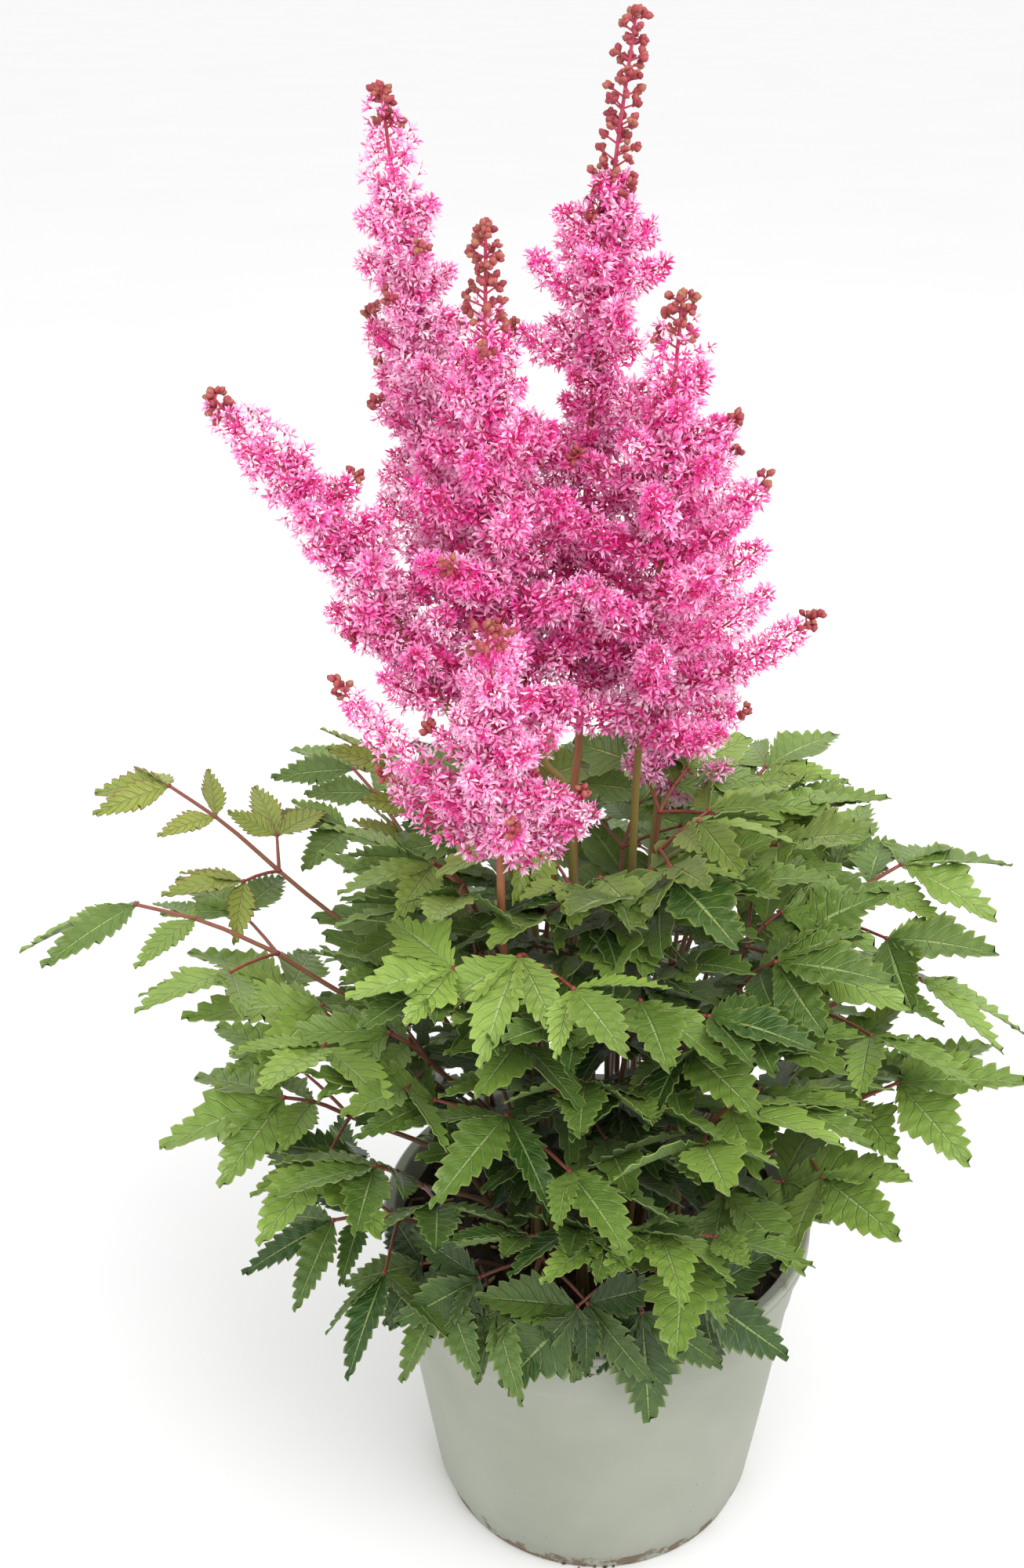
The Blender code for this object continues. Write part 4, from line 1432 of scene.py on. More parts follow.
@dataclass
class Leaf:
    """One compound leaf. Foot is its radius in the peat; fork and tip are radius and height.

    Size is its longest leaflet in millimetres. Angles are in degrees: an azimuth of 0 is to the
    plant's right and 270 to its front, and turn is how far the blade turns aside from the petiole.
    Radii and redness of a stalk are given at its root and at its end.
    """

    name: str
    azimuth: float
    foot: float
    fork: Pair
    tip: Pair
    size: float
    form: Form
    roll: float
    tint: float = 0.4
    spread: float = 46.0
    arm_spread: float = 60.0
    arm_rise: float = 0.10
    arch: float = 0.16
    turn: float = 0.0
    petiole_radii: Pair = (1.35, 1.0)
    rachis_radii: Pair = (1.0, 0.75)
    arm_radii: Pair = (0.85, 0.6)
    arm_lean: float = -0.2
    side_scale: float = 0.88
    inner_scale: float = 0.72
    rng: random.Random = field(init=False)

    ARM = {Form.LONG: 0.66, Form.PLAIN: 0.62, Form.BROAD: 0.62, Form.YOUNG: 0.50}
    CUTS = {Form.LONG: (0, 1, 2), Form.PLAIN: (3, 4, 5), Form.BROAD: (6, 7, 8), Form.YOUNG: (1, 3, 5)}

    def __post_init__(self) -> None:
        """Seeds the leaf's own draw."""
        self.rng = random.Random(self.name)

    def grow(self, growth: Growth | None = None) -> Growth:
        """Gathers the petiole, the arms, the joints and the leaflets.

        Args:
            growth: What they are added to, or None for a growth of the leaf's own.

        Returns:
            The growth, ready for the tree.
        """
        growth = growth or Growth(f"{self.name}_blades")
        angle = math.radians(self.azimuth)
        out = Vector((math.cos(angle), math.sin(angle), 0))
        foot = out * self.foot + UP * SOIL_TOP_Z
        fork = out * self.fork[0] + UP * self.fork[1]
        tip = out * self.tip[0] + UP * self.tip[1]
        aside = Matrix.Rotation(math.radians(self.turn), 3, "Z")
        tip = fork + aside @ (tip - fork)
        along = (tip - fork).normalized()
        level = aside @ Vector((-math.sin(angle), math.cos(angle), 0))
        across = Matrix.Rotation(math.radians(self.roll), 3, along) @ level
        up = along.cross(across)
        span = (tip - fork).length
        end = fork + along * max(span - self.size, 8) + UP * self.arch * span
        middle = foot + out * (self.fork[0] - self.foot) * 0.36 + UP * (fork.z - foot.z) * 0.62
        petiole = smooth_route([foot + UP * UPRIGHT, middle, fork], 14)
        growth.stalk([foot - UP * HOLE_DEPTH, *petiole], self.petiole_radii, (0.30, 0.72))
        bow = UP * span * 0.03
        rachis = smooth_route([fork, fork.lerp(end, 0.5) + bow, end], 6)
        growth.stalk(rachis, self.rachis_radii, (0.72, 0.85))
        self._joint(growth, fork, 1.5)
        self._trio(growth, end, (tip - end).normalized(), up, 1.0, 0)
        if (end - fork).length > self.size * 0.42:
            for sign in (1, -1):
                way = Matrix.Rotation(math.radians(self.spread + 12) * sign, 3, up) @ along
                self._leaflet(growth, rachis[3], way, up, self.inner_scale, sign)
            self._joint(growth, rachis[3], 1.15)
        for sign in (1, -1):
            way = (Matrix.Rotation(math.radians(self.arm_spread) * sign, 3, up) @ along
                   + up * self.arm_rise).normalized()
            arm_end = fork + way * self.size * self.ARM[self.form]
            arm = smooth_route([fork, fork.lerp(arm_end, 0.5) + UP, arm_end], 4)
            growth.stalk(arm, self.arm_radii, (0.8, 0.9))
            lean = (up + across * sign * self.arm_lean).normalized()
            self._trio(growth, arm_end, way, lean, 0.96, -sign)
        return growth

    def _trio(self, growth: Growth, root: Vector, way: Vector, up: Vector, scale: float, sign: int) -> None:
        """Adds three leaflets at one joint; an arm's middle one turns a little towards the tip.

        Args:
            growth: What they are added to.
            root: The joint.
            way: The way that the middle one points.
            up: The way that their upper sides face.
            scale: Their share of the leaf's size.
            sign: The side on which the leaf's tip lies, or 0 at the tip.
        """
        middle_way = Matrix.Rotation(0.2 * sign, 3, up) @ way
        self._leaflet(growth, root, middle_way, up, scale, 0)
        for side in (1, -1):
            spread = math.radians(self.spread) * side * self.rng.uniform(0.95, 1.25)
            inner = sign != 0 and side == sign
            share = self.inner_scale if inner else self.side_scale
            self._leaflet(growth, root, Matrix.Rotation(spread, 3, up) @ way, up, scale * share, side)
        self._joint(growth, root, 1.2)

    def _leaflet(self, growth: Growth, root: Vector, way: Vector, up: Vector, scale: float,
                 side: int) -> None:
        """Adds one leaflet, with a little pitch and roll of its own.

        Args:
            growth: What it is added to.
            root: Its joint.
            way: The way that it points.
            up: The way that its upper side faces.
            scale: Its share of the leaf's size.
            side: 1 or -1 beside a middle one, or 0 for that.
        """
        rng = self.rng
        across = up.cross(way).normalized()
        pitch = Matrix.Rotation(rng.uniform(-0.16, 0.16), 3, across)
        loose = pitch @ Matrix.Rotation(rng.uniform(-0.3, 0.3) - 0.12 * side, 3, way)
        x = (loose @ way).normalized()
        y = (loose @ across).normalized()
        z = x.cross(y).normalized()
        axes = Matrix((x, z.cross(x), z)).transposed()
        length = self.size * scale * rng.uniform(0.93, 1.06) * MM
        size = Vector((length, length * rng.uniform(0.92, 1.1), length))
        tint = min(max(self.tint + rng.uniform(-0.24, 0.24), 0), 1)
        growth.item(Part.FIRST, root, axes, size, tint, rng.choice(self.CUTS[self.form]))

    def _joint(self, growth: Growth, place: Vector, size: float) -> None:
        """Adds one swollen joint of the given radius."""
        growth.item(Part.SECOND, place, Matrix.Identity(3), size, 0.5, 0)


@dataclass
class Pot:
    """The nursery pot, turned from one profile, with drain holes. Lengths are in millimetres."""

    height: float = 150.0
    rim_radius: float = 95.0
    collar_radius: float = 91.0
    collar_depth: float = 31.0
    body_top: float = 88.6
    body_bottom: float = 74.5
    foot_radius: float = 71.5
    foot_height: float = 9.0
    wall: float = 1.8
    floor: float = 3.0
    bulge: float = 0.35
    sides: int = 144
    drains: int = 6
    drain_sides: int = 24
    drain_margin: float = 4.0
    drain_radius: float = 5.5
    drain_circle: float = 52.0

    def profile(self) -> list[Pair]:
        """The outline that is turned.

        Returns:
            Pairs of radius and height, from the middle of the underside, out and over the rim, to the
            middle of the inside.
        """
        top, rim, collar, foot = self.height, self.rim_radius, self.collar_radius, self.foot_radius
        step = top - self.collar_depth
        hollow = collar - self.wall
        underside = [(0, 0), (foot - 0.8, 0), (foot, 0.6), (foot + 0.9, 6.4), (foot + 1.3, 7.4),
                     (self.body_bottom - 0.9, 8.2), (self.body_bottom, 9.4)]
        body = []
        for i in range(1, 9):
            share = i / 9
            bulge = self.bulge * math.sin(math.pi * share)
            body.append((self.body_bottom + (self.body_top - self.body_bottom) * share + bulge,
                         self.foot_height + (step - self.foot_height - 1) * share))
        collar_band = [(self.body_top, step - 1), (self.body_top + 0.25, step - 0.3),
                       (collar - 1.5, step + 0.6), (collar - 1.2, step + 1.2), (collar - 0.8, step + 6),
                       (collar - 0.2, top - 10.6), (collar, top - 9.4), (collar + 0.8, top - 8.9)]
        rim_band = [(rim - 1.0, top - 8.8), (rim - 0.3, top - 8.4), (rim - 0.05, top - 7.4),
                    (rim - 0.15, top - 5.2), (rim - 0.65, top - 4.7), (rim - 0.6, top - 4.2),
                    (rim - 0.05, top - 3.7), (rim, top - 1.6), (rim - 0.35, top - 0.6), (rim - 1.2, top),
                    (rim - 3.2, top - 0.05), (hollow + 0.9, top - 0.3), (hollow + 0.2, top - 1.1)]
        inside = [(hollow, top - 2.6), (hollow - 1.1, step + 1.2), (self.body_top - self.wall, step - 1),
                  (foot - self.wall + 1, self.floor + 2), (foot - self.wall - 1.5, self.floor),
                  (0, self.floor)]
        return underside + body + collar_band + rim_band + inside

    def build(self, finish: Material) -> bpy.types.Object:
        """Turns the profile, cuts the drain holes and dresses the pot.

        Args:
            finish: The pot's material.

        Returns:
            The finished pot.
        """
        made = turned("pot_shell", self.profile(), self.sides)
        cutters = []
        low, high = -self.drain_margin, self.floor + self.drain_margin
        outline = [(0, low), (self.drain_radius, low), (self.drain_radius, high), (0, high)]
        for i in range(self.drains):
            angle = 2 * math.pi * (i + 0.5) / self.drains
            cutter = turned(f"drain_{i}", outline, self.drain_sides)
            away = Vector((math.cos(angle), math.sin(angle), 0)) * self.drain_circle * MM
            cutter.data.transform(Matrix.Translation(away))
            cutters.append(cutter)
        cut_away(made, cutters)
        dress(made, finish, 32)
        return made


@dataclass
class Peat:
    """The peat, crumbly on top, with loose crumbs, bark and fibres. Lengths are in millimetres.

    Some crumbs are spilt on the floor in front of the pot, and stray roots hang over the rim.
    """

    radius: float = 88.6
    top: float = SOIL_TOP_Z
    buried: tuple[Pair, ...] = ((0, 3.3), (68.5, 3.3), (86.2, 118.0))
    shoulder: float = 121.0
    litter_margin: float = 2.0
    rings: int = 26
    sides: int = 120
    crumbs: int = 1100
    chips: int = 210
    fibres: int = 46
    spilt: int = 46
    stray_roots: tuple[tuple[Point, ...], ...] = (
        ((44, -62, 137), (49.5, -74, 150.7), (51.5, -79, 151), (53, -81, 150), (52, -82.6, 146.5),
         (48, -85, 142), (47, -85, 139.5)),
        ((-3, -84, 138), (-2, -90, 150.7), (-1.5, -94.4, 151), (-2.5, -96.5, 148.5), (-4.5, -96.7, 146),
         (-1, -96.5, 142.5), (2.5, -96.7, 144.5)),
    )
    seed: int = 21

    def surface(self, x: float, y: float) -> float:
        """The height of the uneven top.

        Args:
            x: The place to the right of the axis.
            y: The place behind the axis.

        Returns:
            The height.
        """
        lump = math.sin(x * 0.16 + 1) * math.cos(y * 0.19 - 2) + 0.5 * math.sin(x * 0.31 - y * 0.27)
        rough = noise.fractal(Vector((x * 0.11, y * 0.11, 3.7)), 0.9, 2.1, 4)
        return self.top + 1.5 * lump + 1.6 * rough

    def build(self, finish: Material) -> bpy.types.Object:
        """Makes the block of peat.

        Args:
            finish: The peat's material.

        Returns:
            The finished block.
        """
        outline = [*self.buried, (self.radius, self.shoulder), (self.radius, self.top - 3)]
        outline += [(self.radius * (1 - i / self.rings), self.top) for i in range(self.rings)]
        outline.append((0, self.top))
        made = turned("peat_block", outline, self.sides)
        for vert in made.data.vertices:
            x, y, z = vert.co / MM
            if z > self.top - 0.5:
                vert.co.z = self.surface(x, y) * MM
        dress(made, finish, 50)
        return made

    def litter(self) -> Growth:
        """Gathers crumbs, chips, fibres and stray roots.

        Returns:
            The growth, ready for the tree.
        """
        rng = random.Random(self.seed)
        growth = Growth("peat_litter")
        self._crumbs(growth, rng)
        self._chips(growth, rng)
        self._fibres(growth, rng)
        for root in self.stray_roots:
            growth.stalk(smooth_route(list(root), 16), (0.42, 0.16), (0.5, 0.7))
        self._spilt(growth, rng)
        return growth

    def _spot(self, rng: random.Random) -> Vector:
        """A place anywhere on the peat.

        Args:
            rng: The draw for the litter.

        Returns:
            The place.
        """
        radius = (self.radius - self.litter_margin) * math.sqrt(rng.random())
        angle = rng.uniform(0, 2 * math.pi)
        x, y = radius * math.cos(angle), radius * math.sin(angle)
        return Vector((x, y, self.surface(x, y)))

    def _crumbs(self, growth: Growth, rng: random.Random) -> None:
        """Adds crumbs, a few of them large and most of them dark.

        Args:
            growth: What they are added to.
            rng: The draw for the litter.
        """
        for _ in range(self.crumbs):
            angle = rng.uniform(0, ANY_TURN)
            turn = Matrix.Rotation(angle, 3, Vector((rng.gauss(0, 1), rng.gauss(0, 1), 1)).normalized())
            size = rng.uniform(0.5, 1.6) * (2.0 if rng.random() < 0.08 else 1)
            place = self._spot(rng)
            scale = Vector((size, size * rng.uniform(0.6, 1), size * 0.7))
            tint = rng.random() ** 2
            growth.item(Part.FIRST, place, turn, scale, tint, rng.randrange(CrumbShapes.variants))

    def _chips(self, growth: Growth, rng: random.Random) -> None:
        """Adds chips of bark that lie nearly flat.

        Args:
            growth: What they are added to.
            rng: The draw for the litter.
        """
        for _ in range(self.chips):
            turn = Matrix.Rotation(rng.uniform(0, ANY_TURN), 3, "Z")
            turn = turn @ Matrix.Rotation(rng.uniform(-0.5, 0.5), 3, "Y")
            size = rng.uniform(0.5, 1.3)
            place = self._spot(rng) + UP * 0.4
            scale = Vector((size * rng.uniform(1, 1.8), size, size))
            growth.item(Part.SECOND, place, turn, scale, rng.random(), rng.randrange(ChipShapes.variants))

    def _fibres(self, growth: Growth, rng: random.Random) -> None:
        """Adds pale fibres that wander over the peat and stop at its edge.

        Args:
            growth: What they are added to.
            rng: The draw for the litter.
        """
        for _ in range(self.fibres):
            route = [self._spot(rng) + UP * 0.3]
            angle = rng.uniform(0, ANY_TURN)
            for _ in range(5):
                angle += rng.uniform(-0.7, 0.7)
                step = route[-1] + Vector((math.cos(angle), math.sin(angle), 0)) * rng.uniform(1.5, 3.5)
                if Vector((step.x, step.y)).length > self.radius - self.litter_margin:
                    break
                height = self.surface(step.x, step.y) + rng.uniform(0.2, 1.6)
                route.append(Vector((step.x, step.y, height)))
            if len(route) > 2:
                growth.stalk(route, (0.22, 0.1), (0.5, 0.4))

    def _spilt(self, growth: Growth, rng: random.Random) -> None:
        """Adds crumbs on the floor along the front of the pot's foot.

        Args:
            growth: What they are added to.
            rng: The draw for the litter.
        """
        for _ in range(self.spilt):
            angle = math.radians(rng.gauss(268, 8))
            radius = rng.uniform(69.5, 73)
            place = Vector((radius * math.cos(angle), radius * math.sin(angle), rng.uniform(0.9, 1.4)))
            size = rng.uniform(0.35, 1.0)
            turn = Matrix.Rotation(rng.uniform(0, ANY_TURN), 3, "Z")
            scale = Vector((size, size * 0.8, size * 0.6))
            tint = rng.uniform(0.6, 1.0)
            growth.item(Part.FIRST, place, turn, scale, tint, rng.randrange(CrumbShapes.variants))


@dataclass
class CrumbShapes:
    """Crumbs of peat: small uneven lumps."""

    variants: int = 3
    seed: int = 8

    def build(self) -> Library:
        """Makes every variant.

        Returns:
            The library of crumbs, each about a millimetre in radius.
        """
        library = Library("crumbs")
        rng = random.Random(self.seed)
        ball, faces = small_ball()
        for _ in range(self.variants):
            library.add([place * rng.uniform(0.7, 1.25) for place in ball], faces, {}, smooth=False)
        return library


@dataclass
class ChipShapes:
    """Chips of bark: flat splinters with ragged ends."""

    variants: int = 2
    outline: tuple[Pair, ...] = (
        (-2.2, -0.5), (-0.4, -0.75), (1.9, -0.6), (2.5, 0.1), (1.6, 0.65), (-0.7, 0.7), (-2.0, 0.4))
    half_thickness: float = 0.3
    seed: int = 9

    def build(self) -> Library:
        """Makes every variant.

        Returns:
            The library of chips, each a few millimetres long.
        """
        library = Library("chips")
        rng = random.Random(self.seed)
        for _ in range(self.variants):
            outline = [(x * rng.uniform(0.85, 1.15), y * rng.uniform(0.8, 1.2)) for x, y in self.outline]
            sides = (self.half_thickness, -self.half_thickness)
            verts = [Vector((x, y, z)) * MM for z in sides for x, y in outline]
            count = len(outline)
            faces: list[Face] = [tuple(range(count)), tuple(reversed(range(count, 2 * count)))]
            faces += [(i, count + i, count + (i + 1) % count, (i + 1) % count) for i in range(count)]
            library.add(verts, faces, {}, smooth=False)
        return library


def turned(name: str, outline: list[Pair], sides: int) -> bpy.types.Object:
    """A closed shape turned about the Z axis.

    Args:
        name: The object's name.
        outline: Pairs of radius and height in millimetres, its ends on the axis.
        sides: The number of sides.

    Returns:
        The object, linked to the scene.
    """
    verts: list[tuple[float, float, float]] = []
    faces: list[Face] = []
    rings: list[list[int]] = []
    for radius, height in outline:
        if radius == 0:
            rings.append([len(verts)])
            verts.append((0, 0, height * MM))
            continue
        rings.append(list(range(len(verts), len(verts) + sides)))
        for j in range(sides):
            angle = 2 * math.pi * j / sides
            verts.append((radius * math.cos(angle) * MM, radius * math.sin(angle) * MM, height * MM))
    for low, high in zip(rings, rings[1:]):
        for j in range(sides):
            k = (j + 1) % sides
            if len(low) == 1:
                faces.append((low[0], high[k], high[j]))
            elif len(high) == 1:
                faces.append((low[j], low[k], high[0]))
            else:
                faces.append((low[j], low[k], high[k], high[j]))
    mesh = bpy.data.meshes.new(name)
    mesh.from_pydata(verts, [], faces)
    made = bpy.data.objects.new(name, mesh)
    bpy.context.scene.collection.objects.link(made)
    return made


def cut_away(obj: bpy.types.Object, cutters: list[bpy.types.Object]) -> None:
    """Takes the cutters' shapes out of an object, and removes them.

    Args:
        obj: The object that is cut.
        cutters: What is taken away.
    """
    for cutter in cutters:
        modifier = obj.modifiers.new("cut", "BOOLEAN")
        modifier.operation = "DIFFERENCE"
        modifier.object = cutter
        modifier.solver = "MANIFOLD"
        bpy.context.view_layer.update()
        graph = bpy.context.evaluated_depsgraph_get()
        mesh = bpy.data.meshes.new_from_object(obj.evaluated_get(graph))
        obj.modifiers.remove(modifier)
        obj.data = mesh
        bpy.data.objects.remove(cutter)


def dress(obj: bpy.types.Object, finish: Material, crease: float) -> None:
    """Gives an object its material and smooth shading with sharp creases.

    Args:
        obj: The object.
        finish: Its material.
        crease: The angle in degrees from which an edge stays sharp.
    """
    mesh = obj.data
    mesh.materials.clear()
    mesh.materials.append(finish)
    made = bmesh.new()
    made.from_mesh(mesh)
    for face in made.faces:
        face.smooth = True
        face.material_index = 0
    for edge in made.edges:
        edge.smooth = edge.calc_face_angle(0) < math.radians(crease)
    made.to_mesh(mesh)
    made.free()


@dataclass(frozen=True)
class Lamp:
    """One soft square light: its name, its place and side in metres, and its power in watts."""

    name: str
    place: Point
    side: float
    power: float


@dataclass
class Studio:
    """The pale floor, the soft lights and the camera at the photograph's place.

    Places are in metres, the camera's angles in degrees, its lens and sensor in millimetres.
    """

    camera_place: Point = (0.0, -0.605, 0.6646)
    pitch: float = 26.84
    yaw: float = -3.33
    roll: float = -0.71
    lens: float = 39.6
    sensor: float = 36.0
    lamps: tuple[Lamp, ...] = (
        Lamp("key", (0.8, -0.9, 1.9), 1.5, 25),
        Lamp("fill", (-1.3, -0.8, 1.1), 1.2, 4),
    )
    lit_point: Point = (0, 0, 0.3)
    daylight: float = 1.07
    floor_half: float = 40.0

    def camera(self) -> None:
        """Sets up the camera."""
        pitch, yaw, roll = (math.radians(a) for a in (self.pitch, self.yaw, self.roll))
        ahead = Vector((math.sin(yaw) * math.cos(pitch), math.cos(yaw) * math.cos(pitch), -math.sin(pitch)))
        level = Vector((math.cos(yaw), -math.sin(yaw), 0))
        above = level.cross(ahead)
        right = level * math.cos(roll) + above * math.sin(roll)
        up = above * math.cos(roll) - level * math.sin(roll)
        place = Matrix((right, up, -ahead)).transposed().to_4x4()
        place.translation = Vector(self.camera_place)
        data = bpy.data.cameras.new("studio_camera")
        data.lens = self.lens
        data.sensor_width = self.sensor
        made = bpy.data.objects.new("studio_camera", data)
        made.matrix_world = place
        bpy.context.scene.collection.objects.link(made)
        bpy.context.scene.camera = made

    def light(self, lamp: Lamp) -> None:
        """Adds one light that faces the plant.

        Args:
            lamp: The light.
        """
        data = bpy.data.lights.new(lamp.name, "AREA")
        data.size = lamp.side
        data.energy = lamp.power
        made = bpy.data.objects.new(lamp.name, data)
        made.location = lamp.place
        way = Vector(self.lit_point) - Vector(lamp.place)
        made.rotation_euler = way.to_track_quat("-Z", "Y").to_euler()
        bpy.context.scene.collection.objects.link(made)

    def floor(self) -> None:
        """Makes the pale floor."""
        shader = Shader("pale_floor")
        paint = shader.ramp(shader.noise(scale=2), [(0, (0.86, 0.86, 0.86)), (1, (0.9, 0.9, 0.9))])
        finish = shader.finish(paint, roughness=0.9)
        half = self.floor_half
        corners = [(-half, -half, 0), (half, -half, 0), (half, half, 0), (-half, half, 0)]
        mesh = bpy.data.meshes.new("floor")
        mesh.from_pydata(corners, [], [(0, 1, 2, 3)])
        mesh.materials.append(finish)
        floor = bpy.data.objects.new("floor", mesh)
        bpy.context.scene.collection.objects.link(floor)

    def build(self) -> None:
        """Makes the camera, the daylight, the lamps and the floor."""
        self.camera()
        world = bpy.data.worlds.new("studio")
        world.use_nodes = True
        sky = world.node_tree.nodes["Background"].inputs
        sky[0].default_value = (1, 1, 1, 1)
        sky[1].default_value = self.daylight
        bpy.context.scene.world = world
        for lamp in self.lamps:
            self.light(lamp)
        self.floor()
        bpy.context.scene.view_settings.view_transform = "Standard"


PLUMES = (
    Plume(
        "plume_tall_right", foot=(-3, 14), bloom_from=392, turn=40, bud_from=0.74, redness=(0.0, 0.65),
        tip_from=0.52,
        route=((-11, 8, 326), (-9, 12, 377), (-7, 20, 473), (-3, 25, 535), (2, 28, 588), (8, 30, 633)),
        reach=((0, 50), (0.22, 46), (0.33, 30), (0.39, 13), (0.49, 12), (0.53, 26), (0.62, 31), (0.71, 17),
               (0.75, 7), (1, 3)),
        leaders=((0.50, 180, 30, 14), (0.46, -10, 30, 4), (0.38, 185, 30, 18), (0.40, -12, 28, 16),
                 (0.35, 100, 26, 16), (0.36, 215, 28, 22)),
    ),
    Plume(
        "plume_tall_left", foot=(-17, 8), bloom_from=432, turn=100, bud_from=0.96, pale=0.60, bud_reach=2.4,
        route=((-32, 8, 340), (-54, 15, 450), (-65, 18, 509), (-72, 20, 555), (-78, 20, 611)),
        reach=((0, 42), (0.25, 28), (0.45, 22), (0.63, 18), (0.88, 11), (0.95, 7), (1, 4)),
    ),
    Plume(
        "plume_centre", foot=(-7, -8), bloom_from=384, turn=250, bud_from=0.84, pale=0.40,
        route=((-12, -8, 341), (-23, -14, 378), (-37, -20, 443), (-41, -24, 502), (-40, -27, 573)),
        reach=((0, 44), (0.3, 42), (0.55, 28), (0.70, 17), (0.81, 12), (0.85, 6), (1, 3)),
        leaders=((0.10, 190, 62, 26), (0.34, 250, 42, 20)),
    ),
    Plume(
        "plume_front", foot=(-24, -33), bloom_from=360, turn=10, pale=0.55, redness=(0.35, 0.6),
        route=((-25, -35, 190), (-33, -48, 270), (-36, -56, 320), (-36, -66, 366), (-36, -76, 411),
               (-38, -86, 458)),
        reach=((0, 36), (0.4, 26), (0.7, 16), (0.9, 8), (1, 4)),
        leaders=((0.22, 176, 56, 46), (0.02, 165, 44, 24), (0.04, 20, 32, 16)),
    ),
    Plume(
        "plume_right", foot=(11, -4), bloom_from=380, turn=305, pale=0.42,
        route=((13, -3, 341), (15, -5, 387), (19, -8, 439), (22, -8, 498), (25, -8, 547)),
        reach=((0, 46), (0.35, 44), (0.55, 32), (0.72, 22), (0.88, 13), (1, 6)),
        leaders=((0.10, -8, 62, 34), (0.42, 4, 38, 34), (0.60, 8, 24, 22), (0.02, 10, 40, 2)),
    ),
    Plume(
        "plume_left", foot=(-21, -16), bloom_from=402, turn=80, bud_from=0.96, pale=0.5, bud_reach=2.4,
        route=((-30, -22, 300), (-42, -30, 366), (-66, -34, 425), (-98, -36, 479), (-132, -36, 520)),
        reach=((0, 30), (0.35, 24), (0.6, 17), (0.85, 10), (1, 4)),
    ),
    Plume(
        "plume_left_mid", foot=(-9, 18), bloom_from=420, turn=130, bud_from=0.86, pale=0.4, bud_reach=3.2,
        route=((-22, 24, 330), (-44, 34, 425), (-68, 40, 486), (-87, 44, 532)),
        reach=((0, 30), (0.4, 22), (0.7, 13), (0.9, 6), (1, 4)),
    ),
    Plume(
        "plume_back", foot=(13, 17), bloom_from=330, turn=330, pale=0.7,
        route=((18, 28, 240), (25, 48, 340), (36, 66, 410), (48, 80, 480)),
        reach=((0, 34), (0.3, 30), (0.6, 20), (0.85, 9), (1, 4)),
    ),
)

